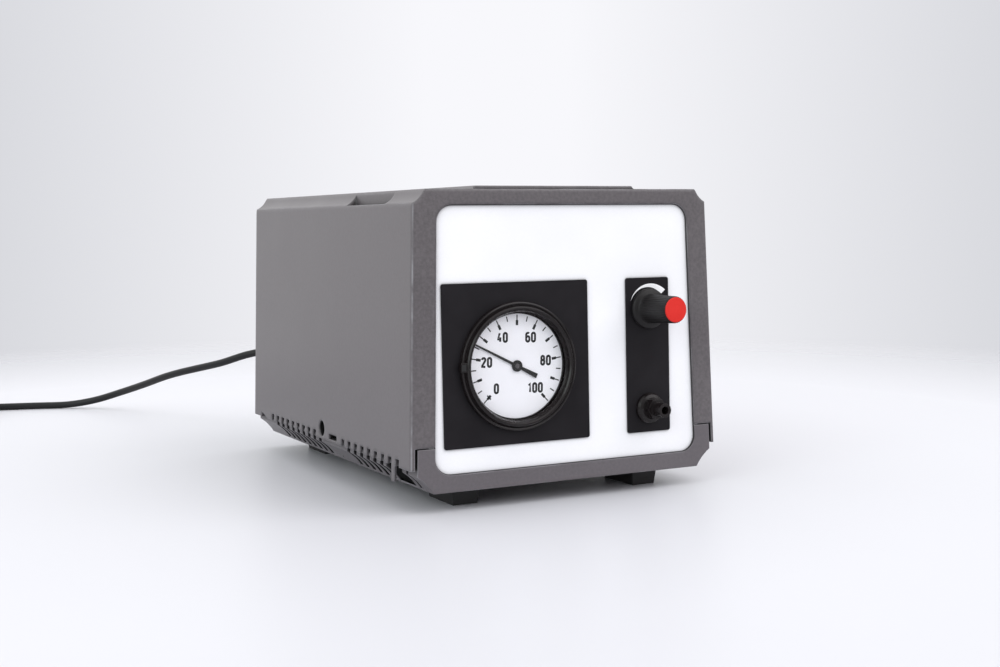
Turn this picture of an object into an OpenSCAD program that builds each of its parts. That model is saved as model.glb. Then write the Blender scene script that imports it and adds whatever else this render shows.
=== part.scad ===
// Bench vacuum pump in a two-shell moulded case, with a dial gauge, a bleed
// regulator and a hose inlet on the front. Millimetres, Z up, front faces -Y.

/* [Case] */
// Width across the side walls at the bottom of the case
case_w = 188; // [180:1:196]
// Width across the side walls at the top of the case
case_w_top = 178; // [170:1:180]
// Height of the case without its feet
case_h = 154.6; // [150:0.1:160]
// Depth of the case at its lower edge
case_d = 255; // [245:1:265]
// Lean of the front face, in degrees
rake = 1.26; // [0:0.02:2]
// Thickness of the side walls
side_t = 2.2; // [2:0.1:2.6]
// Thickness of the top wall and of the tray's floor
plate_t = 3; // [2.5:0.1:4]
// Depth of the front and rear frames
frame_t = 9; // [8:0.5:12]
// Gap between the outer wall and the tray inside it
shell_gap = 1.5; // [1.2:0.1:1.8]
// Height of the split between the two shells, from the floor
split_z = 33.6; // [32:0.2:36]
// Height of the lower edge of the side walls, from the floor
skirt_z = 23; // [22:0.2:25]

/* [Louvres] */
// Distance from one slot to the next
slot_pitch = 9.6; // [9:0.1:10]
// Width of a slot in the tray
slot_w = 4.8; // [4:0.1:5.2]
// Width of a notch in the side wall
notch_w = 4.8; // [4:0.1:5.2]
// Number of notches in the front group
slots_front = 9; // [5:1:9]
// Number of slots in the rear group
slots_rear = 9; // [5:1:9]

/* [Gauge] */
// Outside diameter of the bezel
gauge_d = 67.6; // [66:0.2:68]
// Radius of the part of the dial that shows
dial_r = 28; // [26:0.5:29]
// Place of the gauge across the front
gauge_x = -31.2; // [-34:0.2:-28]
// Height of the gauge from the floor
gauge_z = 73; // [70:0.5:76]
// Reading at rest, in hundredths of the full scale
reading = 26; // [0:1:100]

/* [Controls] */
// Place of the knob and the hose inlet across the front
control_x = 50; // [48:0.5:52]
// Height of the regulator knob from the floor
knob_z = 100; // [96:0.5:104]
// Height of the hose inlet from the floor
inlet_z = 45.3; // [43:0.1:48]
// Length of the knob from the panel to its cap
knob_len = 26.4; // [22:0.2:28]
// Outside radius of the hose nozzle
nozzle_r = 3.8; // [3.4:0.1:4.2]
// Bore radius of the hose nozzle
bore_r = 2.25; // [1.8:0.05:2.5]

/* [Feet] */
// Height of the rubber feet
foot_h = 10.4; // [9:0.1:12]
// Width of a foot at the floor
foot_w = 14; // [12:0.5:18]
// Length of a foot at the floor
foot_l = 30; // [24:1:40]

/* [Mains lead] */
// Diameter of the lead
cord_d = 5.4; // [5:0.1:6]
// Radius of the middle of the coil's turns
coil_r = 30; // [28:0.5:32]

/* [Hidden] */
$fn = 64;
// Heights and widths of the case
case_z = foot_h;
top_z = case_z + case_h;
function half_w(z) = case_w / 2 - (z - case_z) * (case_w - case_w_top) / 2 / case_h;
function tray_w(z) = half_w(z) - side_t - shell_gap;
tray_top = 44;

// Corner coves: how far they reach in and down, how deep they are hollowed,
// and the small bevels along the edges of the upper ones
cove_in = 6.3;
cove_down = 7.1;
cove_sag = 0.75;
bevel_top = 1;
bevel_down = 1.3;
tray_cove_in = 9.2;
tray_cove_up = 9.3;

// Window in the frames, and the panels that sit in a groove round it
corner_r = 1.6;
win_z0 = 19.3;
win_z1 = 157;
win_w0 = 79.9;
win_w1 = 76.2;
win_r = 9;
split_gap = 0.6;
panel_lip = 3;
panel_y = 1.2;
panel_t = 3;
skin_t = 0.8;
skin_y = panel_y - skin_t;
// Outward place of the label plates' face, where the front fittings sit
face = -skin_y;
panel_back = -panel_y - panel_t;

// Plates on the front panel
gauge_plate_x = [-74.3, 11.8];
control_plate_x = [36.2, 63.7];
plates_z = [32.3, 116.9];
plate_r = 1.2;

// Top plateau
plateau_h = 2;
plateau_w = 100;
plateau_y = [15, 240];

// Hand grips in the top coves
grip_y = [40, 94];
grip_z = 154;
grip_t = 2.5;

// Louvres, opening by the front corner and side screws
slot_y_front = 18.2;
slot_y_rear = 141;
slot_z = [11.7, 21.8];
upper_slot_z = [23.6, 29];
slot_in = 13;
rim_t = 1.2;
rim_z = 28.4;
tongue_y = [21.8, 25.4];
tongue_t = 1.4;
tongue_z = 14.8;
corner_slot = [12, 15];
corner_open = [19.6, 41];
corner_in = 12;
notch_top = 27;
screw_y = 129;
screw_z = 29;
screw_cup_r = 4.75;
screw_seat_x = 85;
screw_r = 1.95;
side_slot = [104.6, 117];
rear_gap = [229, 241];

// Feet
foot_x = 55.8;
foot_y = [31, 222];
foot_flare = 1.2;
foot_screw_r = 1.8;
foot_head_r = 3.6;
foot_seat_z = 6.4;
floor_z = case_z + plate_t;

// Gauge
flange_t = 1;
gauge_r = gauge_d / 2;
gauge_tube_r = 31.4;
gauge_depth = 30;
gauge_wall = 1.5;
glass_t = 1.1;
dial_bore = 27.4;
dial_z = -2.5;
dial_t = 0.8;
arbor_r = 0.7;
run_fit = 0.05;
gauge_roll = -1.8;
pinion_r = 1.35;
sector_r = 14.85;
sector_gap = 0.3;
sector_x = pinion_r + sector_r + sector_gap;
gear_ratio = sector_r / pinion_r;
dial_start = 225;
dial_sweep = 270;
needle_angle = dial_start - dial_sweep * reading / 100;

// Regulator and inlet
bush_r = 5;
spindle_r = 3;
needle_r = 2;
valve_w = 22;
valve_len = 31;
nozzle_tip = 15.4;
hose_r = 3.6;
barb_r = 2.4;

// Pump chassis and what stands on it
chassis_z = 22;
chassis_t = 2;
chassis_top = chassis_z + chassis_t;
chassis_x = 62;
chassis_y = [64, 222];
mount_x = 50;
mount_y = [78, 208];
core_z = [34, 64];
core_y = [160, 202];
core_x = 26;
leg_w = 10;
coil_w = 28;
arm_x = 20;
arm_y = 92;
arm_end = 152;
arm_z = [40, 58];
arm_t = 3;
arm_pin_r = 3;
pump_y = 122;
pump_z = 49;
pump_r = 21;
pump_x = [33, 52];
port_x = 45;
port_z = 61;
port_reach = 34;
suction_y = 72;
pressure_y = 214;
bar_r = 5;
bar_port = 9;
bar_x = 56;

// Rear panel fittings
exhaust_x = 45;
exhaust_z = 61;
switch_x = 50;
switch_z = 118;
switch_tilt = 9;
fuse_x = 12;
fuse_z = 118;
relief_x = -8;
relief_z = 62;
relief_len = 32;

// Route of the mains lead from the strain relief to its coil
relief_tip_y = case_d + relief_len - panel_y;
cord_route = [
    [relief_x, relief_tip_y, relief_z], [relief_x, relief_tip_y + 10, relief_z], [-12, 312, 61],
    [-21, 328, 60], [-34, 344, 58], [-48, 359, 55], [-62, 374, 51], [-75, 392, 44.5], [-85, 410, 40],
    [-97, 430, 35], [-106, 448, 30], [-116, 472, 22.5], [-129, 500, 14], [-145, 519, 7], [-164, 532, 3.2],
    [-188, 542, 2.8], [-215, 550, 2.8], [-242, 556, 2.8], [-268, 558, 2.8]];
coil_at = [-268, 523];
coil_rows = 3;
plug_x = coil_at[0] - coil_r - cord_d;
plug_y = 488;
plug_z = 7;
plug_body = 36;
plug_half = 17.5;
pin_gap = 18.6;
pin_len = 19;
pin_r = 2;
plug_route = [
    [plug_x, coil_at[1], 13], [plug_x, coil_at[1] - 10, 12.4], [plug_x, coil_at[1] - 20, 9],
    [plug_x, plug_y + 5, plug_z], [plug_x, plug_y, plug_z]];

// The origin is under the middle of the pump itself, between knob and exhaust
front_reach = (knob_len + 0.6) * cos(rake) - (knob_z - 6.4) * sin(rake);
rear_reach = case_d + 12;
mid_y = (rear_reach - front_reach) / 2;

// Placing

module place() { translate([0, -mid_y, 0]) children(); }

// A flat profile drawn in X and Z, drawn out along Y
module along_y(y0, y1) {
    translate([0, y1, 0]) rotate([90, 0, 0]) linear_extrude(y1 - y0) children();
}

// Front face: X across, Y up and Z straight out of the leaning face
module on_front(x = 0, z = 0) {
    rotate([-rake, 0, 0]) translate([x, 0, z]) rotate([90, 0, 0]) children();
}
function front_point(x, z, out) =
    [x, z * sin(rake) - out * cos(rake), z * cos(rake) + out * sin(rake)];

// Rear face: Y up and Z straight out of the rear
module on_rear(x = 0, z = 0) {
    translate([x, case_d - panel_y, z]) rotate([90, 0, 180]) children();
}

module both_sides() {
    children();
    mirror([1, 0, 0]) children();
}

module tube(r, r_in, z0, z1) {
    translate([0, 0, z0]) difference() {
        cylinder(r = r, h = z1 - z0);
        translate([0, 0, -1]) cylinder(r = r_in, h = z1 - z0 + 2);
    }
}

module rod(r, z0, z1) { translate([0, 0, z0]) cylinder(r = r, h = z1 - z0); }

module block(x, y, z) {
    translate([x[0], y[0], z[0]]) cube([x[1] - x[0], y[1] - y[0], z[1] - z[0]]);
}

// Profiles of the case

module mirrored_outline(points) {
    back = [for (i = [len(points) - 1:-1:0]) [-points[i][0], points[i][1]]];
    polygon(concat(points, back));
}

// Round cut that hollows the line from a to b, on its right-hand side
module hollow_cut(a, b, sag) {
    c = norm(b - a);
    r = c * c / (8 * sag) + sag / 2;
    side = [(b - a)[1], (a - b)[0]] / c;
    translate((a + b) / 2 + (r - sag) * side) circle(r, $fn = 120);
}

module upper_outline() {
    w = half_w(top_z);
    low = [w - 0.1, top_z - cove_down];
    high = [w - cove_in, top_z - bevel_down];
    difference() {
        mirrored_outline([[half_w(skirt_z), skirt_z],
            [half_w(top_z - cove_down - bevel_down), top_z - cove_down - bevel_down], low, high,
            [w - cove_in - bevel_top, top_z]]);
        both_sides() hollow_cut(low, high, cove_sag);
    }
}

module upper_hollow() {
    low = skirt_z - 1;
    knee = top_z - 12;
    mirrored_outline([[half_w(low) - side_t, low], [half_w(knee) - side_t, knee],
        [half_w(top_z) - 10.4, top_z - plate_t]]);
}

module tray_outline(top) {
    low = [tray_w(case_z) - tray_cove_in, case_z];
    high = [tray_w(case_z + tray_cove_up), case_z + tray_cove_up];
    difference() {
        mirrored_outline([low, high, [tray_w(top), top]]);
        both_sides() hollow_cut(low, high, cove_sag);
    }
}

module tray_hollow() {
    knee = case_z + tray_cove_up + 2;
    high = tray_top + 1;
    mirrored_outline([[tray_w(case_z) - tray_cove_in - 1.7, floor_z], [tray_w(knee) - side_t, knee],
        [tray_w(high) - side_t, high]]);
}

// Tall window with round corners that narrows upwards, grown by a lip
module window(lip = 0) {
    r = win_r + lip;
    z0 = win_z0 - lip;
    z1 = win_z1 + lip;
    c0 = win_w0 + lip - r;
    c1 = win_w1 + lip - r;
    mirrored_outline([[c0, z0], [c0 + r, z0 + r], [c1 + r, z1 - r], [c1, z1]]);
    both_sides() {
        translate([c0, z0 + r]) circle(r);
        translate([c1, z1 - r]) circle(r);
    }
}

module rounded_plate(x, z, r) {
    translate([x[0] + r, z[0]]) square([x[1] - x[0] - 2 * r, z[1] - z[0]]);
    translate([x[0], z[0] + r]) square([x[1] - x[0], z[1] - z[0] - 2 * r]);
    for (cx = [x[0] + r, x[1] - r], cz = [z[0] + r, z[1] - r]) translate([cx, cz]) circle(r, $fn = 24);
}

// Everything in front of the leaning face
module ahead_of_face() {
    rotate([-rake, 0, 0]) block([-150, 150], [-60, 0], [-40, 240]);
}

// Frames: slabs of the outline, parallel to the faces, with the window cut out
module front_slab() {
    intersection() {
        along_y(-5, frame_t + 8) children();
        rotate([-rake, 0, 0]) along_y(0, frame_t) difference() {
            translate([-120, -20]) square([240, 220]);
            window();
        }
    }
}

// Cuts that round the upright corners of the front face
module front_rounds() {
    tilt = atan((half_w(case_z) - half_w(top_z)) / (top_z - case_z));
    both_sides() rotate([-rake, 0, 0]) translate([half_w(0), 0, 0]) rotate([0, -tilt, 0]) difference() {
        block([-corner_r, 5], [-5, corner_r], [-10, 190]);
        translate([-corner_r, corner_r, 0]) rod(corner_r, -11, 191);
    }
}

module rear_slab() {
    along_y(case_d - frame_t, case_d) difference() {
        children();
        window();
    }
}

module panel_grooves() {
    rotate([-rake, 0, 0]) along_y(panel_y, panel_y + panel_t) window(panel_lip);
    along_y(case_d - panel_y - panel_t, case_d - panel_y) window(panel_lip);
}

module slot_row(w, z, x, first = 0) {
    for (i = [first:slots_front - 1]) {
        y = slot_y_front + i * slot_pitch;
        block(x, [y - w / 2, y + w / 2], z);
    }
    for (i = [0:slots_rear - 1]) {
        y = slot_y_rear + i * slot_pitch;
        block(x, [y - w / 2, y + w / 2], z);
    }
}

// Strip of a side wall between two heights, from its outer face inwards
module wall_strip(y, z, t, reach = 0) {
    along_y(y[0], y[1]) polygon([[half_w(z[0]) - t, z[0]], [half_w(z[0]) + reach, z[0]],
        [half_w(z[1]) + reach, z[1]], [half_w(z[1]) - t, z[1]]]);
}

// Case

module plateau() {
    w = plateau_w / 2;
    s = plateau_h;
    intersection() {
        along_y(plateau_y[0], plateau_y[1])
            mirrored_outline([[w, top_z - 1], [w, top_z], [w - s, top_z + s]]);
        rotate([90, 0, 90]) translate([0, 0, -w]) linear_extrude(2 * w)
            polygon([[plateau_y[0], top_z - 1], [plateau_y[0], top_z], [plateau_y[0] + s, top_z + s],
                [plateau_y[1] - s, top_z + s], [plateau_y[1], top_z], [plateau_y[1], top_z - 1]]);
    }
}

// Pocket for the fingers, open through the cove between its two edges
module grip_pocket() {
    inner_x = half_w(top_z) - cove_in;
    block([inner_x, half_w(grip_z) - side_t - 0.2], grip_y, [grip_z, top_z - bevel_down]);
    block([inner_x, 100], grip_y, [top_z - cove_down, top_z - bevel_down]);
}

module grip_walls() {
    block([half_w(top_z) - cove_in - grip_t, half_w(grip_z) - side_t + 0.2],
        [grip_y[0] - grip_t, grip_y[1] + grip_t], [grip_z - grip_t, top_z - 1]);
}

module screw_cup(r) {
    translate([screw_seat_x - 2, screw_y, screw_z]) rotate([0, 90, 0]) cylinder(r = r, h = 14);
}

// The rim is thinned behind the notches, and one tongue reaches down past it
module louvre_rim() {
    for (y = [[tongue_y[1], slot_y_front + (slots_front - 0.5) * slot_pitch],
        [slot_y_rear - slot_pitch / 2, slot_y_rear + (slots_rear - 0.5) * slot_pitch]])
        translate([-rim_t, 0, 0]) wall_strip(y, [skirt_z - 1, rim_z], side_t);
}

module upper_shell() place() color("#858587") difference() {
    union() {
        difference() {
            along_y(-5, case_d) upper_outline();
            along_y(-6, case_d + 1) upper_hollow();
        }
        difference() {
            union() {
                front_slab() upper_outline();
                rear_slab() upper_outline();
            }
            block([-half_w(case_z), half_w(case_z)], [-9, case_d + 9], [case_z, split_z]);
        }
        plateau();
        both_sides() intersection() {
            union() {
                grip_walls();
                screw_cup(screw_cup_r + 1.8);
            }
            along_y(0, case_d) upper_outline();
        }
        both_sides() wall_strip(tongue_y, [tongue_z, skirt_z + 5], tongue_t);
    }
    ahead_of_face();
    front_rounds();
    panel_grooves();
    both_sides() {
        grip_pocket();
        louvre_rim();
        slot_row(notch_w, [skirt_z - 1, notch_top], [84, 100]);
        block([84, 100], side_slot, [24.4, 27.4]);
        translate([84, 0, 0]) rotate([90, 0, 90]) linear_extrude(16)
            polygon([[rear_gap[0], skirt_z - 1], [rear_gap[0], skirt_z], [rear_gap[1] - 2, skirt_z + 2.6],
                [rear_gap[1], skirt_z + 2.6], [rear_gap[1], skirt_z - 1]]);
        translate([2, 0, 0]) screw_cup(screw_cup_r);
        translate([screw_seat_x - 4, screw_y, screw_z]) rotate([0, 90, 0]) cylinder(r = screw_r, h = 6);
    }
    for (y = [[-3, 2.4], [case_d - 2.2, case_d + 1]])
        block([-tray_w(split_z) - shell_gap, tray_w(split_z) + shell_gap], y,
            [split_z, split_z + split_gap]);
}

module lower_shell() place() color("#7f7f82") difference() {
    union() {
        difference() {
            along_y(frame_t - 4, case_d - 4) tray_outline(tray_top);
            along_y(0, case_d + 1) tray_hollow();
            block([-100, 100], [0, frame_t + 2], [split_z, tray_top + 1]);
            block([-100, 100], [case_d - frame_t - 2, case_d + 1], [split_z, tray_top + 1]);
        }
        front_slab() tray_outline(split_z);
        rear_slab() tray_outline(split_z);
        both_sides() {
            intersection() {
                block([80, 92], [frame_t - 1, corner_open[0]], [case_z, skirt_z - 1]);
                along_y(0, 40) tray_outline(tray_top);
            }
            block([74.5, screw_seat_x - 2], [screw_y - 7, screw_y + 7], [floor_z - 1, 38]);
        }
        for (x = [-foot_x, foot_x], y = foot_y) translate([x, y, 0]) rod(5, case_z, floor_z + 5);
    }
    ahead_of_face();
    panel_grooves();
    both_sides() {
        w = tray_w(case_z);
        slot_row(slot_w, slot_z, [w - slot_in, 100], 3);
        slot_row(slot_w, upper_slot_z, [w - 5, 100], 1);
        block([w - corner_in, 100], corner_slot, [slot_z[0], skirt_z - 0.6]);
        block([w - corner_in, 100], corner_open, [slot_z[0], skirt_z - 0.6]);
        block([w - 5, 100], [side_slot[0] - 1, side_slot[1] + 1], [24.4, 29]);
        block([w - 5, 100], [rear_gap[0] + 1, rear_gap[1] - 1], [skirt_z + 0.6, 28]);
        block([screw_seat_x - 2, 100], [screw_y - 7.5, screw_y + 7.5], [21.5, tray_top + 1]);
        translate([screw_seat_x - 9, screw_y, screw_z]) rotate([0, 90, 0]) cylinder(r = screw_r, h = 9);
    }
    for (x = [-foot_x, foot_x], y = foot_y) translate([x, y, 0]) rod(foot_screw_r, case_z - 1, floor_z + 4);
}

// Screw with a dark plug pressed over it, dished in the middle
module case_screws() place() color("#3a3a3c") both_sides() translate([0, screw_y, screw_z])
    rotate([0, 90, 0]) {
        rod(screw_r, screw_seat_x - 8, screw_seat_x);
        difference() {
            rod(screw_cup_r, screw_seat_x, half_w(screw_z) - 0.9);
            rod(screw_cup_r - 0.5, screw_seat_x + 2.4, 100);
            translate([-0.6, -4, screw_seat_x + 1.4]) cube([1.2, 8, 2]);
        }
    }

module front_panel() place() color("#f6f6fa") difference() {
    rotate([-rake, 0, 0]) along_y(panel_y, panel_y + panel_t) window(panel_lip);
    on_front(gauge_x, gauge_z) rod(gauge_tube_r + 0.1, -10, 1);
    on_front(control_x, knob_z) rod(bush_r + 0.1, -10, 1);
    on_front(control_x, inlet_z) rod(bush_r + 0.1, -10, 1);
}

module gauge_plate() place() color("#252326") on_front() difference() {
    translate([0, 0, -panel_y]) linear_extrude(skin_t) rounded_plate(gauge_plate_x, plates_z, plate_r);
    translate([gauge_x, gauge_z]) rod(gauge_tube_r + 0.1, -10, 1);
}

module control_plate() place() color("#252326") on_front() difference() {
    translate([0, 0, -panel_y]) linear_extrude(skin_t) rounded_plate(control_plate_x, plates_z, plate_r);
    for (z = [knob_z, inlet_z]) translate([control_x, z]) rod(bush_r + 0.1, -10, 1);
}

module rear_panel() place() color("#8a8a8e") difference() {
    along_y(case_d - panel_y - panel_t, case_d - panel_y) window(panel_lip);
    on_rear(exhaust_x, exhaust_z) rod(bush_r + 0.1, -9, 1);
    on_rear(relief_x, relief_z) rod(5.6, -9, 1);
    on_rear(fuse_x, fuse_z) rod(6.4, -9, 1);
    on_rear(switch_x, switch_z) translate([-11.1, -15.1, -9]) cube([22.2, 30.2, 10]);
}

// Feet

module foot(side, y) place() color("#1d1b1d") translate([side * foot_x, y, 0]) difference() {
    w = foot_w / 2;
    l = foot_l / 2;
    f = foot_flare;
    intersection() {
        along_y(-l - f, l + f) mirrored_outline([[w, 0], [w + f, foot_h]]);
        rotate([90, 0, 90]) translate([0, 0, -w - f]) linear_extrude(2 * (w + f))
            mirrored_outline([[l, 0], [l + f, foot_h]]);
    }
    rod(foot_head_r + 0.4, -1, foot_seat_z);
    rod(foot_screw_r, 0, foot_h + 1);
}

module foot_front_left() foot(-1, foot_y[0]);
module foot_front_right() foot(1, foot_y[0]);
module foot_rear_left() foot(-1, foot_y[1]);
module foot_rear_right() foot(1, foot_y[1]);

module foot_screws() place() color("#8d8f92")
    for (x = [-foot_x, foot_x], y = foot_y) translate([x, y, 0]) {
        rod(foot_screw_r, foot_seat_z, floor_z + 4);
        rod(foot_head_r, foot_seat_z - 2.2, foot_seat_z);
    }

// Gauge, drawn about its own centre with Z straight out of the panel

module on_gauge() { place() on_front(gauge_x, gauge_z) rotate(gauge_roll) children(); }

module gauge_case() color("#2b2829") on_gauge() {
    inner = gauge_tube_r - gauge_wall;
    difference() {
        rod(gauge_tube_r, -gauge_depth, face);
        rod(inner, face + flange_t - glass_t, face + 1);
        rod(dial_bore, dial_z, face + 1);
        rod(dial_bore - 1, dial_z - 2, dial_z + 1);
        rod(inner, gauge_wall - gauge_depth, dial_z - 1);
        rod(4, -gauge_depth - 1, 0);
    }
    tube(gauge_r, inner, face, face + flange_t);
}

// Ring with a thin outer bead and a broad inner one, and the lug of its catch
module gauge_bezel() color("#2b2627") on_gauge() translate([0, 0, face + flange_t]) {
    rotate_extrude() polygon([[dial_r, 0], [gauge_r, 0], [gauge_r, 1.3], [gauge_r - 0.3, 1.9],
        [gauge_r - 0.9, 2.2], [gauge_r - 1.5, 2], [gauge_r - 1.8, 1.6], [gauge_r - 2.1, 2.1],
        [gauge_r - 2.5, 3.2], [gauge_r - 3.2, 3.9], [gauge_r - 4, 3.8], [gauge_r - 4.7, 3],
        [dial_r + 0.5, 1.5], [dial_r, 0.7]]);
    translate([-gauge_r - 0.9, -2.4, 0]) cube([3.4, 4.8, 2.9]);
}

module gauge_glass() color("#dfe6ea") on_gauge()
    rod(gauge_tube_r - gauge_wall, face + flange_t - glass_t, face + flange_t);

module gauge_dial() color("#f0f0f0") on_gauge() difference() {
    rod(dial_bore, dial_z, dial_z + dial_t);
    rod(2, dial_z - 1, dial_z + 2);
}

module gauge_pointer() color("#151515") on_gauge() rotate(needle_angle) {
    rod(3, dial_z + 1.1, dial_z + 1.7);
    rod(arbor_r, -20.6, dial_z + 1.5);
    rod(pinion_r, -14.4, -11.6);
    translate([0, 0, dial_z + 1.15]) linear_extrude(0.5) {
        polygon([[0, 0.62], [27, 0.2], [27, -0.2], [0, -0.62]]);
        polygon([[0, 0.7], [-13, 1.25], [-13, -1.25], [0, -0.7]]);
    }
}

module gauge_movement() color("#b08d4a") on_gauge() difference() {
    union() {
        for (z = [[-9.6, -8.2], [-20.2, -18.8]]) translate([-6, -9, z[0]]) cube([29, 18, z[1] - z[0]]);
        for (x = [-4, 21], y = [-7, 7]) translate([x, y]) rod(1.2, -19, dial_z);
        translate([16, -4, gauge_wall - gauge_depth]) cube([6, 8, gauge_depth - gauge_wall - 20]);
    }
    rod(arbor_r + run_fit, -21, -8);
    translate([sector_x, 0]) rod(arbor_r + run_fit, -21, -8);
}

module gauge_sector() color("#c9a558") on_gauge() translate([sector_x, 0]) {
    rod(arbor_r, -20.6, -7.8);
    rod(1.8, -16, -11);
    translate([0, 0, -13.6]) linear_extrude(1.2) intersection() {
        circle(sector_r);
        rotate(dial_sweep * (reading - 50) / 100 / gear_ratio)
            polygon([[1.2, 1.6], [1.2, -1.6], [-16, -8], [-16, 8]]);
    }
}

module gauge_capsule() color("#c8b070") on_gauge() {
    rotate_extrude() polygon([[0, -28.5], [4, -28.5], [4, -27.4], [13, -26.4], [15, -25.4], [13, -24.4],
        [3, -23.4], [3, -22.6], [0, -22.6]]);
}

module gauge_connector() color("#b3924f") on_gauge() {
    rod(4, -gauge_depth, gauge_wall - gauge_depth);
    translate([0, 0, -gauge_depth - 8]) cylinder(r = 7.5, h = 8, $fn = 6);
    rod(barb_r, -gauge_depth - 16, -gauge_depth - 8);
}

module gauge_clamp() color("#9a9da0") on_gauge() difference() {
    translate([-37, -10.5, -gauge_depth - 2]) cube([74, 21, gauge_depth + 2 + panel_back]);
    translate([-35, -11, -gauge_depth]) cube([70, 22, gauge_depth + 10]);
    rod(8, -gauge_depth - 3, 0);
}

// Regulator: a knob and spindle that push a needle in the bleed valve

module on_valve() { place() on_front(control_x, knob_z) children(); }

// Skirt, then a tapered grip, hollow for the nut and the collet
module control_knob() color("#2b2627") on_valve() difference() {
    rotate_extrude() polygon([[0, face + 1], [11, face + 1], [11, face + 2.4], [10.4, face + 3.2],
        [8.6, face + 3.6], [7.9, face + 4.4], [7.2, knob_len - 0.5], [6.8, knob_len], [0, knob_len]]);
    rod(9, face, face + 2.6);
    rod(5.2, face, knob_len - 2.4);
    rod(6.2, knob_len - 1.2, knob_len + 1);
}

module knob_cap() color("#e53a35") on_valve() {
    rod(6.2, knob_len - 1.2, knob_len);
    rotate_extrude() polygon([[0, knob_len], [6.7, knob_len], [6.7, knob_len + 0.3], [6.4, knob_len + 0.6],
        [0, knob_len + 0.6]]);
}

module knob_collet() color("#b08d4a") on_valve() difference() {
    rod(5.2, face + 8, knob_len - 2.4);
    rod(spindle_r, face, knob_len - 4);
}

module valve_nut() color("#8f9194") on_valve() difference() {
    translate([0, 0, face]) cylinder(r = 8, h = 2.2, $fn = 6);
    rod(bush_r, face - 1, face + 4);
}

module valve_body() color("#a8864a") on_valve() difference() {
    union() {
        rod(bush_r, panel_back - 1, face + 5);
        translate([-valve_w / 2, -valve_w / 2, panel_back - valve_len]) cube([valve_w, valve_w, valve_len]);
        translate([0, -valve_w / 2 + 1, panel_back - 22]) rotate([90, 0, 0]) cylinder(r = barb_r, h = 9);
        translate([0, valve_w / 2 - 1, panel_back - 22]) rotate([-90, 0, 0]) cylinder(r = 5, h = 5);
    }
    rod(spindle_r + run_fit, panel_back - 14, face + 6);
    rod(needle_r + run_fit, panel_back - 27, face);
}

module valve_spindle() color("#b9bbbd") on_valve() rod(spindle_r, panel_back - 12, knob_len - 4);

module valve_needle() color("#c9cbcd") on_valve() {
    tip = panel_back - 22;
    rod(needle_r, tip, panel_back - 14.4);
    translate([0, 0, tip - 3]) cylinder(r1 = 0.4, r2 = needle_r, h = 3);
}

// Hose inlet: flange and hexagon in front, thread and barb behind, one bore

module on_inlet() { place() on_front(control_x, inlet_z) children(); }

module inlet_fitting() color("#2b2627") on_inlet() difference() {
    union() {
        rotate_extrude() polygon([[0, face], [8.4, face], [8.4, face + 1.6], [7.6, face + 3],
            [6, face + 3.6], [0, face + 3.6]]);
        translate([0, 0, face + 3]) cylinder(r = 6, h = 5.6, $fn = 6);
        rod(nozzle_r, face + 3, nozzle_tip);
        rod(bush_r, panel_back - 8, face + 1);
        rod(barb_r, -22, panel_back - 7);
    }
    rod(bore_r - 0.9, -23, nozzle_tip - 8);
    rod(bore_r, nozzle_tip - 10, nozzle_tip + 1);
}

module inlet_nut() color("#8f9194") on_inlet() difference() {
    translate([0, 0, panel_back - 4]) cylinder(r = 8.5, h = 4, $fn = 6);
    rod(bush_r, panel_back - 5, 0);
}

// Pump: a coil drives two arms that work two diaphragms

module pump_chassis() place() color("#9da0a3") difference() {
    union() {
        block([-chassis_x, chassis_x], chassis_y, [chassis_z, chassis_top]);
        for (s = [-1, 1]) translate([s * (chassis_x - 1), 0, 0])
            block([-1, 1], chassis_y, [chassis_z, chassis_top + 6]);
        block([-core_x, core_x], [188, core_y[1]], [chassis_top, core_z[0]]);
        for (x = [-22, 22], y = [suction_y, pressure_y])
            block([x - 4, x + 4], [y - 4, y + 4], [chassis_top, port_z - bar_r + 0.6]);
    }
    for (y = [suction_y, pressure_y]) translate([-bar_x - 5, y, port_z]) rotate([0, 90, 0])
        cylinder(r = bar_r, h = 2 * bar_x + 10);
}

module chassis_mounts() place() color("#222222")
    for (x = [-mount_x, mount_x], y = mount_y) translate([x, y, 0]) rotate_extrude()
        polygon([[0, floor_z], [7, floor_z], [7, floor_z + 2], [5.5, floor_z + 4.3], [7, chassis_z - 2],
            [7, chassis_z], [0, chassis_z]]);

module magnet_core() place() color("#55585c") translate([0, 0, core_z[0]])
    linear_extrude(core_z[1] - core_z[0]) difference() {
        translate([-core_x, core_y[0]]) square([2 * core_x, core_y[1] - core_y[0]]);
        both_sides() translate([leg_w / 2, core_y[0] - 1]) square([core_x - 1.5 * leg_w, 29]);
    }

module magnet_coil() place() color("#b5652d") difference() {
    block([-coil_w / 2, coil_w / 2], [core_y[0] + 3, core_y[0] + 26], [core_z[0] - 8, core_z[1] + 8]);
    block([-leg_w / 2, leg_w / 2], [core_y[0], core_y[0] + 30], core_z);
}

module arm(side) place() color("#b4b7ba") {
    translate([side * arm_x, 0, 0]) {
        difference() {
            union() {
                translate([0, arm_y, 0]) rod(6, arm_z[0], arm_z[1]);
                block([-arm_t / 2, arm_t / 2], [arm_y, arm_end], arm_z);
                translate([0, pump_y, pump_z]) rotate([0, 90 * side, 0]) rod(5, 0, 3.6);
            }
            translate([0, arm_y, 0]) rod(arm_pin_r + run_fit, arm_z[0] - 1, arm_z[1] + 1);
        }
    }
}

module left_arm() arm(-1);
module right_arm() arm(1);

module arm_magnet(side) place() color("#3c3c40") translate([side * arm_x, 0, 0])
    block([-5, 5], [arm_end, arm_end + 5], [arm_z[0] - 2, arm_z[1] + 2]);

module left_arm_magnet() arm_magnet(-1);
module right_arm_magnet() arm_magnet(1);

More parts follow.
